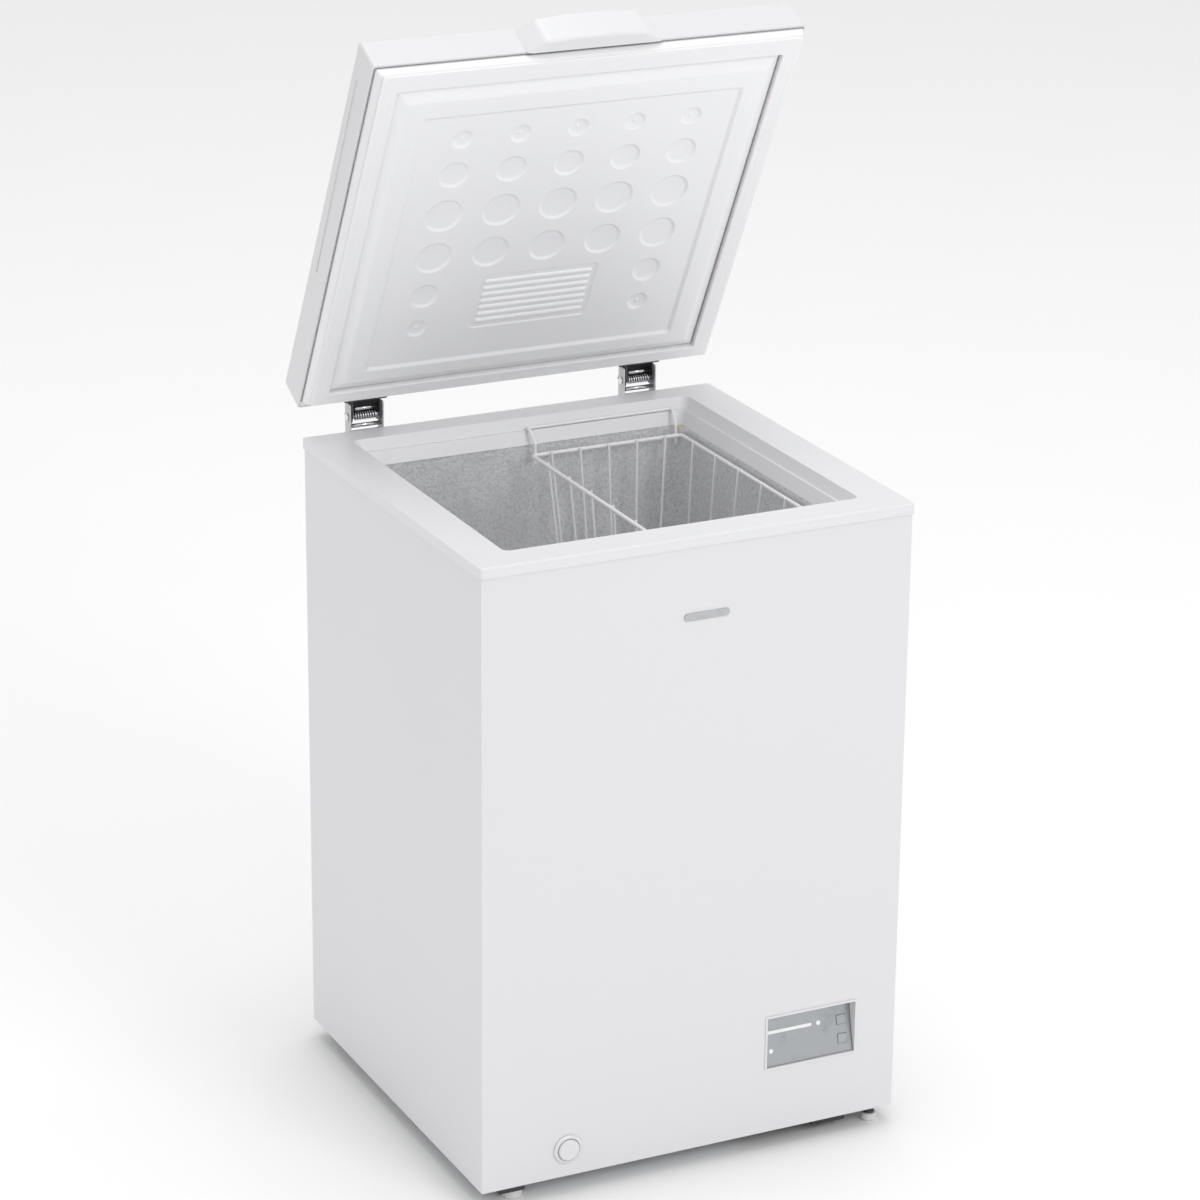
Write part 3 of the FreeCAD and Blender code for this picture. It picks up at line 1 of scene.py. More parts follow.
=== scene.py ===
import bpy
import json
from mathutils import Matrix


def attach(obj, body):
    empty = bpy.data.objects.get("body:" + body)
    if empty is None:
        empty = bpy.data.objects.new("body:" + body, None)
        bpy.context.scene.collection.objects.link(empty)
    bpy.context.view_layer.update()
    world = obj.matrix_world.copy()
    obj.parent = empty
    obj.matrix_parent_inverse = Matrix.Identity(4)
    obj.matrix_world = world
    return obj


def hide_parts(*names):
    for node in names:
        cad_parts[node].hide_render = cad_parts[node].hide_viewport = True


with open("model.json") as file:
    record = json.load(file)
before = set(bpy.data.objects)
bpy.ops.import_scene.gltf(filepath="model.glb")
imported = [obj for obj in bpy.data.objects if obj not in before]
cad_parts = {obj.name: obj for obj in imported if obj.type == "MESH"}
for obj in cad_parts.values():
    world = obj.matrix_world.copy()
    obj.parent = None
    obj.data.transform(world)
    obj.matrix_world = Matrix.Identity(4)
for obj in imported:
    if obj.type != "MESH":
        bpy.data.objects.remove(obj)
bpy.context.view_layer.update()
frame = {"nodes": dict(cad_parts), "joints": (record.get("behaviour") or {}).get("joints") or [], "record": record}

import json
import math

import bpy
import numpy as np
from mathutils import Matrix, Vector
from mathutils.geometry import delaunay_2d_cdt

MM = 0.001
NODES = frame["nodes"]

# ---------------------------------------------------------------- the frame's own places

HINGE_JOINT = next(j for j in frame["joints"] if j["name"] == "lid_hinge")
HINGE = Vector(HINGE_JOINT["pos_m"])
LID_OPEN = math.radians(-HINGE_JOINT["range_deg"][0])
CLOSED_TO_REST = (
    Matrix.Translation(HINGE) @ Matrix.Rotation(-LID_OPEN, 4, "X") @ Matrix.Translation(-HINGE)
)
REST_TO_CLOSED = CLOSED_TO_REST.inverted()


def box_mm(node, matrix=None):
    """Low and high corners of a CAD node in millimetres, turned by a matrix first if one is given."""
    points = [v.co if matrix is None else matrix @ v.co for v in NODES[node].data.vertices]
    spread = np.array(points) / MM
    return spread.min(0), spread.max(0)


def closed_box(node):
    """The box of a lid node with the lid closed, in millimetres."""
    return box_mm(node, REST_TO_CLOSED)


# ---------------------------------------------------------------- materials


class Finish:
    """A Principled material under construction, with short ways to add texture nodes."""

    def __init__(self, name, colour, roughness, **sockets):
        self.material = bpy.data.materials.new(name)
        self.material.use_nodes = True
        self.tree = self.material.node_tree
        self.shader = self.tree.nodes["Principled BSDF"]
        self.colour = colour
        self.set_input("Base Color", (*colour, 1.0))
        self.set_input("Roughness", roughness)
        for socket, value in sockets.items():
            self.set_input(socket.replace("_", " "), value)
        self.height = None

    def set_input(self, socket, value):
        self.shader.inputs[socket].default_value = value

    def add(self, kind, **values):
        made = self.tree.nodes.new("ShaderNode" + kind)
        for key, value in values.items():
            if key in made.bl_rna.properties:
                setattr(made, key, value)
            else:
                self.feed(made.inputs[key.replace("_", " ")], value)
        return made

    def feed(self, socket, value):
        if isinstance(value, bpy.types.NodeSocket):
            self.tree.links.new(value, socket)
        else:
            socket.default_value = value

    def place(self, stretch=(1, 1, 1)):
        """Coordinates that ride with the piece, stretched along its axes."""
        mapping = self.add("Mapping", Scale=stretch)
        self.feed(mapping.inputs["Vector"], self.add("TexCoord").outputs["Object"])
        return mapping.outputs["Vector"]

    def noise(self, scale, detail=3.0, stretch=(1, 1, 1)):
        made = self.add("TexNoise", Scale=scale, Detail=detail)
        self.feed(made.inputs["Vector"], self.place(stretch))
        return made.outputs["Fac"]

    def cells(self, scale, feature="F1", stretch=(1, 1, 1), output="Distance"):
        made = self.add("TexVoronoi", feature=feature, Scale=scale)
        self.feed(made.inputs["Vector"], self.place(stretch))
        return made.outputs[output]

    def span(self, value, low, high, to_low=0.0, to_high=1.0):
        """Maps a value from one range to another, held inside it, with soft ends."""
        made = self.add("MapRange", interpolation_type="SMOOTHERSTEP")
        for socket, number in zip(
            ("Value", "From Min", "From Max", "To Min", "To Max"), (value, low, high, to_low, to_high)
        ):
            self.feed(made.inputs[socket], number)
        return made.outputs["Result"]

    def blend(self, share, first, second):
        made = self.add("Mix", data_type="RGBA")
        self.feed(made.inputs[0], share)
        for socket, value in ((made.inputs[6], first), (made.inputs[7], second)):
            self.feed(socket, value if isinstance(value, bpy.types.NodeSocket) else (*value, 1.0))
        return made.outputs[2]

    def tint(self, share, other):
        """Mixes another colour into the base colour where share is high."""
        base = self.shader.inputs["Base Color"]
        before = base.links[0].from_socket if base.links else self.colour
        self.feed(base, self.blend(share, before, other))

    def roughen(self, value, low, high):
        self.feed(self.shader.inputs["Roughness"], self.span(value, 0.2, 0.8, low, high))

    def relief(self, value, strength, distance):
        """Adds a bump on top of those before it."""
        made = self.add("Bump", Strength=strength, Distance=distance, Height=value)
        if self.height is not None:
            self.feed(made.inputs["Normal"], self.height)
        self.height = made.outputs["Normal"]
        self.feed(self.shader.inputs["Normal"], self.height)

    def edge_wear_and_highlight(self, other, most=0.5, radius=1.2):
        """A little of another colour along edges, where hands and cloths rub; where that colour is only a lighter
        copy of a pale finish, it is a painted highlight.
        """
        bevel = self.add("Bevel", samples=2, Radius=radius * MM)
        bend = self.add("VectorMath", operation="DOT_PRODUCT")
        self.feed(bend.inputs[0], bevel.outputs["Normal"])
        self.feed(bend.inputs[1], self.add("NewGeometry").outputs["Normal"])
        patchy = self.span(self.noise(45, 4), 0.35, 0.65, 0.3, 1.0)
        product = self.add("Math", operation="MULTIPLY")
        self.feed(product.inputs[0], self.span(bend.outputs["Value"], 0.995, 0.93, 0.0, most))
        self.feed(product.inputs[1], patchy)
        self.tint(product.outputs[0], other)

    def painted_corner_shade(self, other, most=0.5, reach=3.0):
        """Painted shade: a little of another colour in corners, wherever ambient occlusion finds them."""
        hollow = self.add("AmbientOcclusion", samples=2, Distance=reach * MM)
        self.tint(self.span(hollow.outputs["AO"], 0.8, 0.4, 0.0, most), other)


def darker(colour, share):
    return tuple(c * share for c in colour)


def gloss_paint(name, colour, rough=(0.29, 0.35)):
    """Baked enamel on sheet steel: slight orange peel, faint clouding, a painted highlight on its edges and
    painted shade in its corners.
    """
    made = Finish(name, colour, rough[0], Coat_Weight=0.15, Coat_Roughness=0.15)
    made.tint(made.span(made.noise(1.4, 1), 0.2, 0.8, 0.0, 0.6), darker(colour, 0.985))
    # Painted highlight: edges a little lighter than the enamel.
    made.edge_wear_and_highlight(darker(colour, 1.06), 0.5)
    # Painted shade in the corners.
    made.painted_corner_shade(darker(colour, 0.8), 0.3)
    made.roughen(made.noise(5, 1), *rough)
    made.relief(made.noise(420, 2), 0.1, 0.0002)
    return made.material


def moulded(name, colour, rough=(0.3, 0.42), grain=900, depth=0.12, wear=None, soft=0.0):
    """Moulded plastic with a fine grain, slight clouding, a painted highlight on its edges unless a wear colour is
    given, and painted shade in its corners.
    """
    made = Finish(name, colour, rough[0], Subsurface_Weight=soft, Subsurface_Scale=0.002)
    made.tint(made.span(made.noise(3, 1), 0.2, 0.8, 0.0, 0.6), darker(colour, 0.985))
    # Unless a wear colour is given, edges a little lighter: a painted highlight.
    made.edge_wear_and_highlight(wear or darker(colour, 1.06))
    # Painted shade in the corners.
    made.painted_corner_shade(darker(colour, 0.76), 0.3)
    made.roughen(made.noise(6, 1), *rough)
    made.relief(made.cells(grain), depth, 0.00008)
    made.relief(made.noise(300, 3), depth * 0.6, 0.0002)
    return made.material


def dark_paint(name, colour, wear):
    """Black enamel on pressed steel, rubbed through a little at its edges."""
    made = Finish(name, colour, 0.35, Coat_Weight=0.2, Coat_Roughness=0.2)
    made.tint(made.span(made.noise(20, 4), 0.45, 0.75, 0.0, 0.5), darker(wear, 0.5))
    made.edge_wear_and_highlight(wear, 0.7)
    made.roughen(made.noise(35, 4), 0.28, 0.5)
    made.relief(made.noise(350, 2), 0.15, 0.0001)
    return made.material


def rubber(name, colour):
    """Dull black rubber with a chalky bloom."""
    made = Finish(name, colour, 0.7, Sheen_Weight=0.15)
    made.tint(made.span(made.noise(25, 5), 0.5, 0.75, 0.0, 0.35), (0.09, 0.09, 0.09))
    made.edge_wear_and_highlight((0.14, 0.14, 0.14))
    made.roughen(made.noise(60, 3), 0.6, 0.85)
    made.relief(made.noise(900, 2), 0.25, 0.0001)
    return made.material


def plated(name, colour, rough=(0.18, 0.34), stretch=(1, 1, 1), scratches=0.1):
    """Bright plated or drawn metal, with fine scratches along it and dull handling marks."""
    made = Finish(name, colour, rough[0], Metallic=1.0)
    made.tint(made.span(made.noise(40, 5), 0.5, 0.75, 0.0, 0.5), darker(colour, 0.72))
    # Edges brighter: partly rubbed metal, partly a painted highlight.
    made.edge_wear_and_highlight(tuple(min(1.0, c * 1.2) for c in colour))
    # Painted shade in the corners.
    made.painted_corner_shade(darker(colour, 0.4), 0.5)
    made.roughen(made.noise(70, 5, stretch), *rough)
    made.relief(made.noise(600, 2, stretch), scratches, 0.00006)
    return made.material


def galvanised(name):
    """Hot-dipped sheet with its spangle."""
    colour = (0.58, 0.6, 0.62)
    made = Finish(name, colour, 0.4, Metallic=1.0)
    flakes = made.add("SeparateColor")
    made.feed(flakes.inputs[0], made.cells(130, output="Color"))
    made.tint(made.span(flakes.outputs[0], 0.0, 1.0, 0.0, 0.55), (0.42, 0.44, 0.46))
    # Painted shade in the corners.
    made.painted_corner_shade((0.2, 0.2, 0.2), 0.5)
    made.feed(made.shader.inputs["Roughness"], made.span(flakes.outputs[1], 0.0, 1.0, 0.3, 0.55))
    made.relief(made.cells(130, "DISTANCE_TO_EDGE"), 0.15, 0.0001)
    return made.material


def stucco(name):
    """Stucco-embossed aluminium sheet: small soft pillows pressed close together."""
    colour = (0.88, 0.885, 0.9)
    made = Finish(name, colour, 0.42, Metallic=0.5)
    pillows = made.cells(330, "SMOOTH_F1")
    ridges = made.cells(330, "DISTANCE_TO_EDGE")
    made.tint(made.span(made.noise(6, 1), 0.2, 0.8, 0.0, 0.5), darker(colour, 0.92))
    # Painted shade darker towards each pillow's edge, then a painted highlight along the ridges between the
    # pillows.
    made.tint(made.span(pillows, 0.2, 0.75, 0.0, 0.6), darker(colour, 0.66))
    made.tint(made.span(ridges, 0.1, 0.0, 0.0, 0.6), (0.9, 0.905, 0.91))
    # Painted shade in the corners.
    made.painted_corner_shade(darker(colour, 0.6), 0.4, 6.0)
    made.feed(made.shader.inputs["Roughness"], made.span(made.noise(30, 3), 0.3, 0.7, 0.36, 0.5))
    made.relief(pillows, 0.7, -0.0006)
    made.relief(made.noise(90, 2), 0.2, 0.0006)
    return made.material


def foam(name):
    """Yellow rigid foam with its skin and bubbles."""
    made = Finish(name, (0.72, 0.58, 0.28), 0.85)
    made.tint(made.span(made.noise(30, 5), 0.4, 0.7), (0.6, 0.45, 0.18))
    made.relief(made.cells(260), 0.6, 0.001)
    return made.material


def lens(name):
    """Milky lamp lens."""
    made = Finish(
        name, (0.9, 0.91, 0.9), 0.18, Subsurface_Weight=0.25, Subsurface_Scale=0.002, Coat_Weight=0.4,
        Coat_Roughness=0.08,
    )
    made.tint(made.span(made.noise(90, 3), 0.4, 0.7, 0.0, 0.6), (0.82, 0.84, 0.84))
    made.roughen(made.noise(120, 2), 0.14, 0.26)
    made.relief(made.noise(500, 2), 0.08, 0.0001)
    return made.material


def board(name):
    """Circuit board lacquer over its copper tracks."""
    made = Finish(name, (0.02, 0.16, 0.07), 0.3, Coat_Weight=0.5)
    made.tint(made.span(made.cells(350, "DISTANCE_TO_EDGE"), 0.03, 0.06, 1.0, 0.0), (0.1, 0.3, 0.12))
    made.roughen(made.noise(80), 0.29, 0.45)
    made.relief(made.cells(350, "DISTANCE_TO_EDGE"), 0.3, 0.0001)
    return made.material


WHITE = (0.735, 0.735, 0.758)
FINISHES = {
    "cabinet_paint": gloss_paint("cabinet_paint", WHITE),
    "rear_paint": gloss_paint("rear_paint", (0.66, 0.67, 0.68), (0.35, 0.5)),
    "galvanised_steel": galvanised("galvanised_steel"),
    "hinge_steel": gloss_paint("hinge_steel", (0.62, 0.625, 0.635), (0.3, 0.42)),
    # The hinge leaf's near-black enamel also stands in for the shadow in the gap between the lid and the hinge.
    "leaf_steel": dark_paint("leaf_steel", (0.05, 0.05, 0.053), (0.3, 0.3, 0.31)),
    "tray_paint": dark_paint("tray_paint", (0.012, 0.012, 0.013), (0.12, 0.12, 0.12)),
    "stucco_aluminium": stucco("stucco_aluminium"),
    "plain_aluminium": plated("plain_aluminium", (0.8, 0.8, 0.81), (0.29, 0.42)),
    "rim_plastic": moulded("rim_plastic", (0.76, 0.76, 0.775), (0.29, 0.37), soft=0.05),
    "lid_plastic": gloss_paint("lid_plastic", (0.73, 0.73, 0.745)),
    # Lighter than the other white plastics: painted light for the light the lid's shaded inner face lacks.
    "lid_lining_plastic": moulded(
        "lid_lining_plastic", (0.88, 0.88, 0.9), (0.29, 0.36), 1500, 0.05, soft=0.05,
    ),
    "gasket_rubber": moulded("gasket_rubber", (0.87, 0.87, 0.885), (0.42, 0.55), 1200, 0.15, soft=0.08),
    "handle_plastic": moulded("handle_plastic", (0.76, 0.76, 0.775), (0.29, 0.36), soft=0.05),
    "panel_frame_plastic": moulded("panel_frame_plastic", (0.74, 0.74, 0.76), (0.3, 0.4)),
    "panel_face_plastic": plated(
        "panel_face_plastic", (0.42, 0.435, 0.455), (0.3, 0.42), (1, 12, 12), 0.05,
    ),
    "lamp_plastic": lens("lamp_plastic"),
    "button_plastic": moulded(
        "button_plastic", (0.4, 0.415, 0.43), (0.3, 0.42), wear=(0.6, 0.6, 0.6),
    ),
    "circuit_board": board("circuit_board"),
    "badge_metal": plated("badge_metal", (0.5, 0.51, 0.53), (0.29, 0.36), (1, 10, 10)),
    "drain_plastic": moulded("drain_plastic", (0.74, 0.74, 0.76), (0.29, 0.4)),
    "black_plastic": moulded(
        "black_plastic", (0.03, 0.03, 0.032), (0.38, 0.55), 700, 0.3, (0.1, 0.1, 0.1),
    ),
    "foot_plastic": moulded("foot_plastic", (0.7, 0.7, 0.7), (0.35, 0.5), 700, 0.2, soft=0.1),
    "black_rubber": rubber("black_rubber", (0.02, 0.02, 0.02)),
    "compressor_paint": dark_paint("compressor_paint", (0.015, 0.015, 0.017), (0.1, 0.1, 0.1)),
    "copper": plated("copper", (0.78, 0.38, 0.22), (0.29, 0.45)),
    "condenser_steel": plated("condenser_steel", (0.3, 0.31, 0.32), (0.35, 0.5)),
    "insulation_foam": foam("insulation_foam"),
    "basket_wire": moulded("basket_wire", (0.85, 0.85, 0.86), (0.29, 0.36), 900, 0.05, soft=0.05),
    "spring_steel": plated("spring_steel", (0.75, 0.75, 0.77), (0.12, 0.26)),
}

# ---------------------------------------------------------------- tools for meshes


def finished(mesh_object, slot, body):
    """Gives a new piece its material, its slot and the body it rides on."""
    mesh_object.data.materials.clear()
    mesh_object.data.materials.append(FINISHES[slot])
    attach(mesh_object, body)
    return mesh_object


def piece(name, vertices, faces, slot, body, matrix=None, replaces=()):
    """A mesh from vertices in millimetres."""
    mesh = bpy.data.meshes.new(name)
    mesh.from_pydata([Vector(v) * MM for v in vertices], [], [list(f) for f in faces])
    if matrix is not None:
        mesh.transform(matrix)
    mesh.validate()
    mesh.shade_smooth()
    made = bpy.data.objects.new(name, mesh)
    bpy.context.scene.collection.objects.link(made)
    finished(made, slot, body)
    if replaces:
        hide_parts(*replaces)
    return made


def weighted(thing):
    """Normals that keep broad faces flat and bend only over the small ones."""
    normals = thing.modifiers.new("normals", "WEIGHTED_NORMAL")
    normals.weight = 100
    normals.keep_sharp = False
    return thing


def soften(node, width, segments=3, angle=30):
    """Rounds a CAD node's sharp edges and smooths its curved faces."""
    thing = NODES[node]
    weld = thing.modifiers.new("weld", "WELD")
    weld.merge_threshold = 0.01 * MM
    flat = thing.modifiers.new("flat", "DECIMATE")
    flat.decimate_type = "DISSOLVE"
    flat.angle_limit = math.radians(0.8)
    if width:
        bevel = thing.modifiers.new("bevel", "BEVEL")
        bevel.width = width * MM
        bevel.segments = segments
        bevel.limit_method = "ANGLE"
        bevel.angle_limit = math.radians(angle)
        bevel.use_clamp_overlap = True
    return weighted(thing)


def rect_ring(x0, x1, y0, y1, radius, steps=6):
    """Points round a rectangle with rounded corners, counter-clockwise."""
    points = []
    left, right, front, rear = x0 + radius, x1 - radius, y0 + radius, y1 - radius
    middles = ((right, rear), (left, rear), (left, front), (right, front))
    for quarter, (cx, cy) in enumerate(middles):
        for i in range(steps + 1):
            angle = math.pi / 2 * (quarter + i / steps)
            points.append((cx + radius * math.cos(angle), cy + radius * math.sin(angle)))
    return points


def loft(rings, closed=False, caps=(False, False)):
    """Vertices and faces of a skin over rings of equal length, each a list of 3-D points."""
    count = len(rings[0])
    vertices = [p for ring in rings for p in ring]
    faces = []
    spans = len(rings) if closed else len(rings) - 1
    for i in range(spans):
        here, there = i * count, (i + 1) % len(rings) * count
        for j in range(count):
            k = (j + 1) % count
            faces.append((here + j, here + k, there + k, there + j))
    if caps[0]:
        faces.append(tuple(reversed(range(count))))
    if caps[1]:
        faces.append(tuple(range(len(vertices) - count, len(vertices))))
    return vertices, faces


def tube(points, radius, sides=10):
    """A round wire along a line of 3-D points."""
    line = [Vector(p) for p in points]
    rings = []
    side = None
    for i, point in enumerate(line):
        along = (line[min(i + 1, len(line) - 1)] - line[max(i - 1, 0)]).normalized()
        if side is None:
            side = along.orthogonal()
        side = (side - along * side.dot(along)).normalized()
        other = along.cross(side)
        rings.append([
            tuple(point + radius * (math.cos(t) * side + math.sin(t) * other))
            for t in (2 * math.pi * k / sides for k in range(sides))
        ])
    return loft(rings, caps=(True, True))


# ---------------------------------------------------------------- lid: inner cover


def soft_min(a, b, width):
    """The smaller of two values, rounded where they are within the width of each other."""
    reach = np.maximum(width - np.abs(a - b), 0.0) / width
    return np.minimum(a, b) - reach * reach * width / 4


def soft_max(a, b, width):
    return -soft_min(-a, -b, width)


def soft_ramp(distance, run, blend):
    """0 before the distance is 0, 1 past the run, with both corners rounded over the blend."""
    share = distance / run
    return soft_min(soft_max(share, 0.0, blend / run), 1.0, blend / run)


def inside_distance(x, y, x0, x1, y0, y1, corner):
    """How far inside a rectangle's sides a point is, with its mitres rounded a little."""
    width = corner * 1.17
    return soft_min(soft_min(x - x0, x1 - x, width), soft_min(y - y0, y1 - y, width), width)


COVER_LOW, COVER_HIGH = closed_box("lid_inner_cover")
COVER_FRONT, COVER_REAR = COVER_LOW[1], COVER_HIGH[1]
COVER_SIDE = COVER_HIGH[0]
LID_BASE = closed_box("lid_gasket")[1][2]
RAISED_HEIGHT = LID_BASE - COVER_LOW[2]
SLOPE_HEIGHT = 6.5
SHELF = (28.0 - COVER_SIDE, COVER_SIDE - 28.0, COVER_FRONT + 27.3, COVER_REAR - 29.9)
SHELF_RUN = 0.5
SLOPE_RUNS = (15.5, 15.5, 18.4, 13.0)
SUNK = (66.5 - COVER_SIDE, COVER_SIDE - 66.5, COVER_FRONT + 69.3, COVER_REAR - 58.9)
SUNK_DEPTH, SUNK_RUN = 3.0, 4.2
DIMPLE_PITCH, DIMPLE_DEPTH = 72.7, 2.9
DIMPLE_WALL = 3.2
WALL_SHARE, BOWL_SHARE = 0.62, 0.38
LARGEST_DIMPLE = 24
SMALL_DIMPLE = 15
NUB_RADIUS, NUB_HEIGHT = 2.4, 0.9
DIMPLE_ROWS = (
    (108.3, 13, (-2, -1, 0, 1, 2)), (161.3, 19, (-2, -1, 0, 1, 2)), (223.3, 24, (-2, -1, 0, 1, 2)),
    (288.3, 23, (-2, -1, 0, 1, 2)), (348.3, 18, (-2, 2)), (399.3, 13, (-2, 2)),
)
DIMPLES = [
    (column * DIMPLE_PITCH, COVER_FRONT + row, radius)
    for row, radius, columns in DIMPLE_ROWS for column in columns
]
TRAY = (-77.0, 77.0, COVER_FRONT + 326.3, COVER_FRONT + 410.3)
TRAY_DEPTH, TRAY_RUN = 1.3, 1.6
RIB_COUNT, RIB_HALF, RIB_HEIGHT = 7, 3.5, 2.3
RIB_REACH = 67.0
RIB_PITCH = (TRAY[3] - TRAY[2] - 12) / RIB_COUNT
RIB_LINES = [TRAY[2] + 6 + RIB_PITCH * (i + 0.5) for i in range(RIB_COUNT)]
PIN_X, PIN_Y, PIN_RADIUS, PIN_HEIGHT = 56.3 - COVER_SIDE, COVER_REAR - 54.7, 3.6, 0.7
COVER_THICKNESS = 1.2


def slope_bounds(share):
    """The line round the sloping edge at a share of its run."""
    x0, x1, y0, y1 = SHELF
    left, right, front, rear = (run * share for run in SLOPE_RUNS)
    return x0 + left, x1 - right, y0 + front, y1 - rear


def slope_share(x, y):
    """How far up the sloping edge a point is: 0 at its foot, 1 at its top."""
    x0, x1, y0, y1 = SHELF
    left, right, front, rear = SLOPE_RUNS
    across = soft_min((x - x0) / left, (x1 - x) / right, 0.3)
    return soft_min(across, soft_min((y - y0) / front, (y1 - y) / rear, 0.3), 0.3)


def cover_relief(x, y):
    """How far the inner cover stands out towards the tank at a point, in millimetres."""
    shelf_height = RAISED_HEIGHT - SLOPE_HEIGHT
    rise = shelf_height * soft_ramp(inside_distance(x, y, *SHELF, 1.5), SHELF_RUN, 0.2)
    rise += SLOPE_HEIGHT * soft_ramp(slope_share(x, y), 1.0, 0.14)
    rise -= SUNK_DEPTH * soft_ramp(inside_distance(x, y, *SUNK, 4.0), SUNK_RUN, 1.2)
    for cx, cy, radius in DIMPLES:
        away = np.hypot(x - cx, y - cy)
        depth = DIMPLE_DEPTH * (0.6 + 0.4 * radius / LARGEST_DIMPLE)
        wall = WALL_SHARE * soft_ramp(radius - away, DIMPLE_WALL, 0.9)
        bowl = BOWL_SHARE * np.maximum(1 - (away / radius) ** 2, 0.0)
        rise -= depth * (wall + bowl)
        if radius < SMALL_DIMPLE:
            rise += NUB_HEIGHT * np.clip(NUB_RADIUS - away, 0.0, 1.0)
    rise -= TRAY_DEPTH * soft_ramp(inside_distance(x, y, *TRAY, 5.0), TRAY_RUN, 0.8)
    for line in RIB_LINES:
        away = np.hypot(np.maximum(np.abs(x) - RIB_REACH, 0.0), y - line) / RIB_HALF
        rise += RIB_HEIGHT * np.sqrt(np.maximum(1 - away ** 2, 0.0)) ** 1.3
    rise += PIN_HEIGHT * np.clip((PIN_RADIUS - np.hypot(x - PIN_X, y - PIN_Y)) / 0.5, 0.0, 1.0)
    return rise


def circle(cx, cy, radius, count):
    """Points round a circle."""
    turns = [2 * math.pi * i / count for i in range(count)]
    return [(cx + radius * math.cos(t), cy + radius * math.sin(t)) for t in turns]


def stadium(line, grow):
    """Points round a rib's centre line, at a distance from it."""
    return rect_ring(-RIB_REACH - grow, RIB_REACH + grow, line - grow, line + grow, grow, 6)


def cover_loops():
    """Closed loops along every line where the cover's relief bends."""
    loops = [rect_ring(-COVER_SIDE, COVER_SIDE, COVER_FRONT, COVER_REAR, 3.0)]

    def inset(bounds, distance, corner):
        x0, x1, y0, y1 = bounds
        inner = (x0 + distance, x1 - distance, y0 + distance, y1 - distance)
        loops.append(rect_ring(*inner, corner))

    for distance in (-0.3, -0.05, 0.15, 0.3, 0.5, 0.7):
        inset(SHELF, distance, 2.0)
    for share in (0.08, 0.14, 0.5, 0.86, 0.93, 1.0, 1.07, 1.14):
        inset(slope_bounds(share), 0, 3.0)
    for distance in (-0.6, -0.3, 0, 0.3, 0.6, 1.6):
        inset(SUNK, distance, 4.0)
    for distance in (-0.6, -0.3, 0, 0.6):
        inset(SUNK, SUNK_RUN + distance, 4.0)
    for distance in (-0.4, 0, 0.4, 0.8, TRAY_RUN - 0.4, TRAY_RUN, TRAY_RUN + 0.4):
        inset(TRAY, distance, 5.0)
    for cx, cy, radius in DIMPLES:
        rings = [radius - inward for inward in (-1.0, -0.5, 0, 0.5, 1.0, 1.8, 2.4, 2.9, 3.4, 4.2)]
        rings += [(radius - 4.2) * share for share in (0.8, 0.6, 0.4)]
        if radius < SMALL_DIMPLE:
            rings += [NUB_RADIUS, 1.9, 1.4]
        loops.extend(circle(cx, cy, ring, 72) for ring in rings)
    for line in RIB_LINES:
        for share in (1.0, 0.97, 0.88, 0.75, 0.55, 0.3, 0.06):
            loops.append(stadium(line, RIB_HALF * share))
    loops.extend(circle(PIN_X, PIN_Y, ring, 24) for ring in (PIN_RADIUS, PIN_RADIUS - 0.5))
    return loops


def make_inner_cover():
    """The vacuum-formed sheet, one mesh whose edges follow its relief."""
    points, edges = [], []
    for loop in cover_loops():
        first = len(points)
        points.extend(Vector(p) for p in loop)
        edges.extend((first + i, first + (i + 1) % len(loop)) for i in range(len(loop)))
    flat, _, faces, _, _, _ = delaunay_2d_cdt(points, edges, [], 0, 1e-4)
    xy = np.array([tuple(p) for p in flat])
    heights = LID_BASE - cover_relief(xy[:, 0], xy[:, 1])
    made = piece(
        "inner_cover", np.column_stack([xy, heights]), [tuple(reversed(f)) for f in faces],
        "lid_lining_plastic", "lid", CLOSED_TO_REST, ["lid_inner_cover"],
    )
    back = made.modifiers.new("sheet", "SOLIDIFY")
    back.thickness = COVER_THICKNESS * MM
    back.offset = -1.0
    return weighted(made)


make_inner_cover()

# ---------------------------------------------------------------- lid: gasket

# How far the seal's face and its inner edge lie inside its base: left, right, front, rear.
FACE_INSETS = (5.8, 5.8, 2.6, 6.0)
INNER_INSETS = (26.8, 26.8, 26.1, 22.0)
GASKET_CORNER = 2.5
# Stage 0 is the base's edge, 1 the face's, 2 the inner edge. Then a step inward, and the depth.
GASKET_SECTION = (
    (0.0, 0.0, 0.0), (0.25, 0.0, 4.0), (0.6, 0.0, 9.0), (0.7, 0.1, 10.6), (0.76, 0.7, 11.2),
    (0.82, 1.7, 12.0), (0.88, 1.7, 12.9), (0.92, 0.6, 13.5), (0.97, 0.0, 14.2), (1.0, 0.2, 14.9),
    (1.03, 0.0, 15.2), (1.3, 0.0, 15.2), (1.32, 0.0, 14.95), (1.34, 0.0, 15.2), (1.66, 0.0, 15.2),
    (1.68, 0.0, 14.95), (1.7, 0.0, 15.2), (1.95, 0.0, 15.2), (1.985, 0.0, 15.0), (2.0, 0.0, 14.5),
    (2.0, 0.0, 10.4), (2.0, -0.7, 9.6), (2.0, 0.0, 8.8), (2.0, 0.0, 0.0),
)


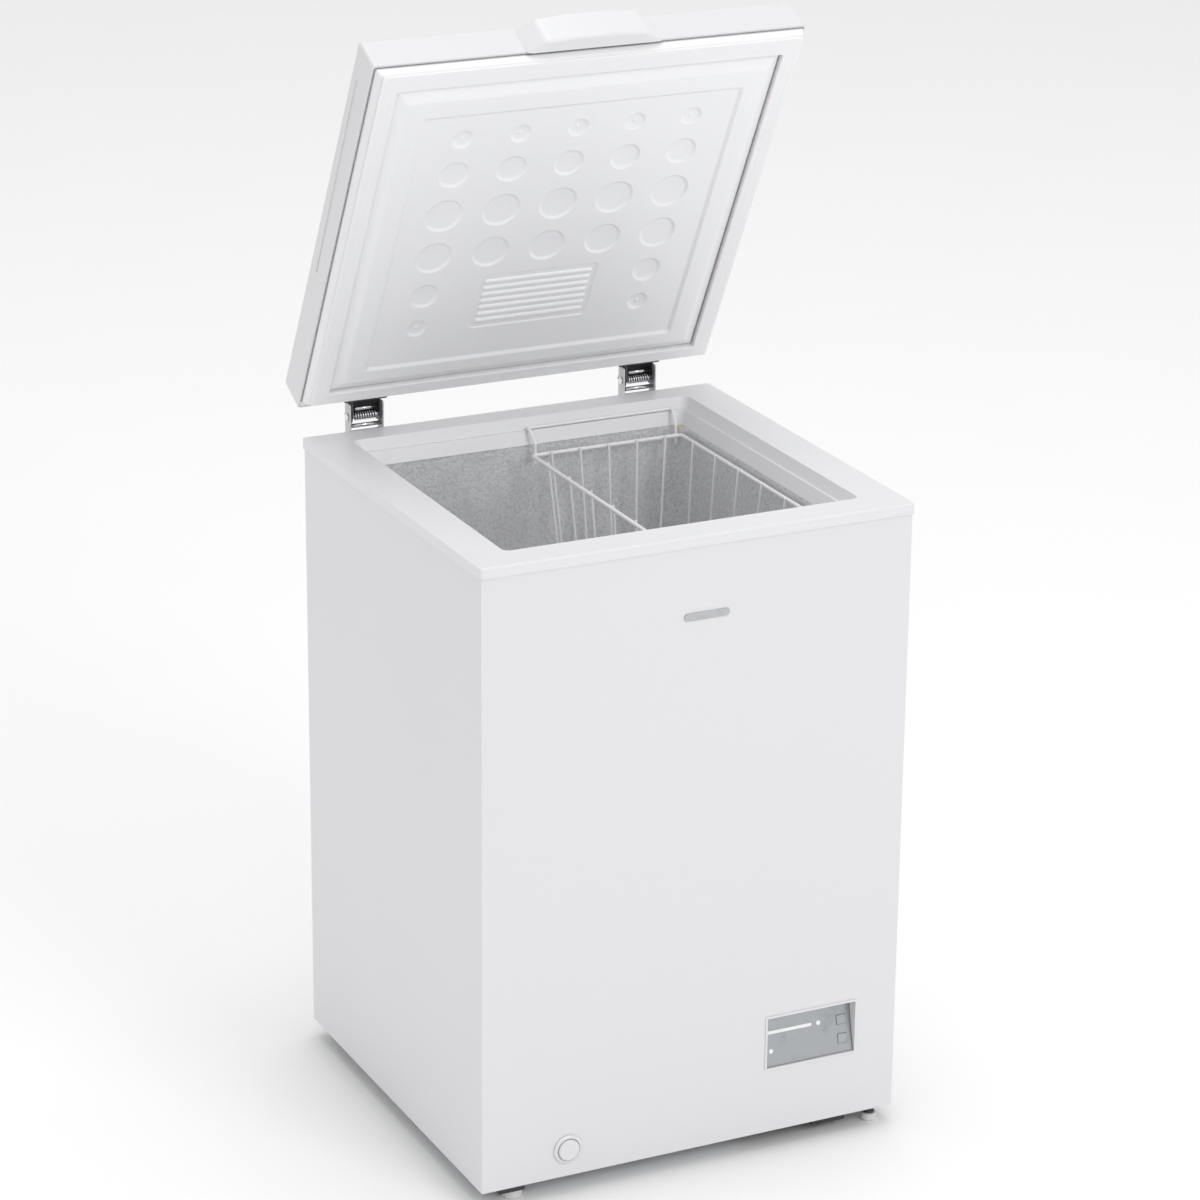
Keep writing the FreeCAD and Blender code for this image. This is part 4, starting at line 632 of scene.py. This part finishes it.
def make_gasket():
    """The seal: its section, carried round the lid."""
    low, high = closed_box("lid_gasket")
    base = (low[0], high[0], low[1], high[1])
    signs = (1, -1, 1, -1)
    rings = []
    for stage, inward, down in GASKET_SECTION:
        outer, inner = min(stage, 1.0), max(stage - 1.0, 0.0)
        bounds = [
            edge + sign * (outer * face * (1 - inner) + inner * inset + inward)
            for edge, sign, face, inset in zip(base, signs, FACE_INSETS, INNER_INSETS)
        ]
        rings.append([(x, y, high[2] - down) for x, y in rect_ring(*bounds, GASKET_CORNER, 4)])
    vertices, faces = loft(rings, closed=True)
    made = piece("gasket", vertices, faces, "gasket_rubber", "lid", CLOSED_TO_REST, ["lid_gasket"])
    return weighted(made)


make_gasket()

# ---------------------------------------------------------------- hinges

SPRING_TURNS, SPRING_WIRE = 9, 0.9
ROD_RADIUS = 2.55
# The cross rods: body, CAD node, place behind and above the hinge's axis, half length, turn.
RODS = {
    "stop_rod": ("cabinet", "hinge_bracket", -2.0, -11.2, 20.4, None),
    "leaf_rod": ("lid", "hinge_leaf", -9.1, 3.6, 17.4, CLOSED_TO_REST),
}


def make_hinge_details(side):
    """The spring round a hinge's pin, and bright sleeves over its two cross rods."""
    low, high = box_mm(f"hinge_spring_{side}")
    middle = (low + high) / 2
    coil = (high[2] - low[2]) / 2 - SPRING_WIRE
    steps = SPRING_TURNS * 26
    points = []
    for i in range(steps + 1):
        angle = 2 * math.pi * SPRING_TURNS * i / steps
        x = low[0] + SPRING_WIRE + (high[0] - low[0] - 2 * SPRING_WIRE) * i / steps
        points.append((x, middle[1] + coil * math.cos(angle), middle[2] + coil * math.sin(angle)))
    spring = f"hinge_spring_{side}"
    vertices, faces = tube(points, SPRING_WIRE, 8)
    piece(f"{spring}_wire", vertices, faces, "spring_steel", "cabinet", None, [spring])
    hinge = HINGE / MM
    for name, (body, node, behind, above, half, matrix) in RODS.items():
        low, high = box_mm(f"{node}_{side}")
        centre = (low[0] + high[0]) / 2
        y, z = hinge[1] + behind, hinge[2] + above
        vertices, faces = tube([(centre - half, y, z), (centre + half, y, z)], ROD_RADIUS, 20)
        piece(f"{name}_{side}", vertices, faces, "spring_steel", body, matrix)


for hinge_side in ("left", "right"):
    make_hinge_details(hinge_side)

# ---------------------------------------------------------------- carried-over CAD nodes

EDGE_WIDTHS = {
    "outer_wrap": 0.35, "rear_panel": 0.3, "bottom_plate": 0.4, "top_frame": 1.2, "tank_liner": 0.6,
    "foam_body": 0, "evaporator_tube": 0, "condenser_tube": 0, "drain_tube": 0, "suction_pipe": 0,
    "discharge_pipe": 0, "basket_rim": 0, "basket_base_ring": 0, "hinge_bracket_left": 0.3,
    "hinge_bracket_right": 0.3, "hinge_leaf_left": 0.3, "hinge_leaf_right": 0.3, "lid_outer_shell": 1.2,
    "lid_foam": 0, "lid_handle": 1.0, "hinge_spring_left": 0, "hinge_spring_right": 0,
    "basket_hanger_front": 0.3, "basket_hanger_rear": 0.3,
}
USUAL_EDGE = 0.35
for row in frame["record"]["materials"]:
    slot_name = row["slot"]
    for cad_piece in NODES.values():
        for index, old in enumerate(cad_piece.data.materials):
            if old.name == slot_name or old.name.startswith(slot_name + "."):
                if old is not FINISHES[slot_name]:
                    cad_piece.data.materials[index] = FINISHES[slot_name]
for cad_name, cad_piece in NODES.items():
    if not cad_piece.hide_render:
        soften(cad_name, EDGE_WIDTHS.get(cad_name, USUAL_EDGE))

# ---------------------------------------------------------------- stage, light, camera


def make_floor():
    """A plain pale floor, larger than the camera sees."""
    mesh = bpy.data.meshes.new("floor")
    reach = 40.0
    corners = [(-reach, -reach, 0), (reach, -reach, 0), (reach, reach, 0), (-reach, reach, 0)]
    mesh.from_pydata(corners, [], [(0, 1, 2, 3)])
    floor = bpy.data.objects.new("floor", mesh)
    bpy.context.scene.collection.objects.link(floor)
    made = Finish("floor", (0.97, 0.97, 0.97), 0.7, Specular_IOR_Level=0.2)
    made.tint(made.span(made.noise(3, 3), 0.4, 0.7, 0.0, 0.4), (0.96, 0.96, 0.962))
    mesh.materials.append(made.material)


def area_light(name, place, aim, size, power):
    """A soft round lamp aimed at a point."""
    data = bpy.data.lights.new(name, "AREA")
    data.shape = "DISK"
    data.size = size
    data.energy = power
    light = bpy.data.objects.new(name, data)
    light.location = place
    light.rotation_euler = (Vector(aim) - Vector(place)).to_track_quat("-Z", "Y").to_euler()
    bpy.context.scene.collection.objects.link(light)


def make_world(colour, strength):
    world = bpy.data.worlds.new("studio")
    world.use_nodes = True
    background = world.node_tree.nodes["Background"]
    background.inputs["Color"].default_value = (*colour, 1)
    background.inputs["Strength"].default_value = strength
    bpy.context.scene.world = world


CAMERA_AZIMUTH, CAMERA_ELEVATION, CAMERA_ROLL = (math.radians(a) for a in (-26.066, 19.977, 0.535))
CAMERA_DISTANCE = 4.863
CAMERA_TARGET = Vector((-0.00114, -0.0245, 0.6237))
CAMERA_LENS, CAMERA_SENSOR = 123.82, 36.0


def make_camera():
    """The photograph's camera: above the front left corner, nearly level."""
    az, el = CAMERA_AZIMUTH, CAMERA_ELEVATION
    back = Vector((math.sin(az) * math.cos(el), -math.cos(az) * math.cos(el), math.sin(el)))
    right = Vector((math.cos(az), math.sin(az), 0))
    up = back.cross(right)
    c, s = math.cos(CAMERA_ROLL), math.sin(CAMERA_ROLL)
    turned_right, turned_up = c * right + s * up, c * up - s * right
    data = bpy.data.cameras.new("camera")
    data.lens = CAMERA_LENS
    data.sensor_width = CAMERA_SENSOR
    data.clip_start, data.clip_end = 0.1, 100.0
    camera = bpy.data.objects.new("camera", data)
    turn = Matrix((turned_right, turned_up, back)).transposed().to_4x4()
    camera.matrix_world = Matrix.Translation(CAMERA_TARGET + back * CAMERA_DISTANCE) @ turn
    bpy.context.scene.collection.objects.link(camera)
    bpy.context.scene.camera = camera


make_floor()
make_world((1.0, 1.0, 1.0), 0.8)
area_light("key", (1.2, -4.6, 3.4), (0, 0, 0.9), 2.2, 58)
area_light("overhead", (0.3, 0.6, 7.0), (0, 0, 0), 4.0, 100)
make_camera()
bpy.context.scene.view_settings.view_transform = "Standard"
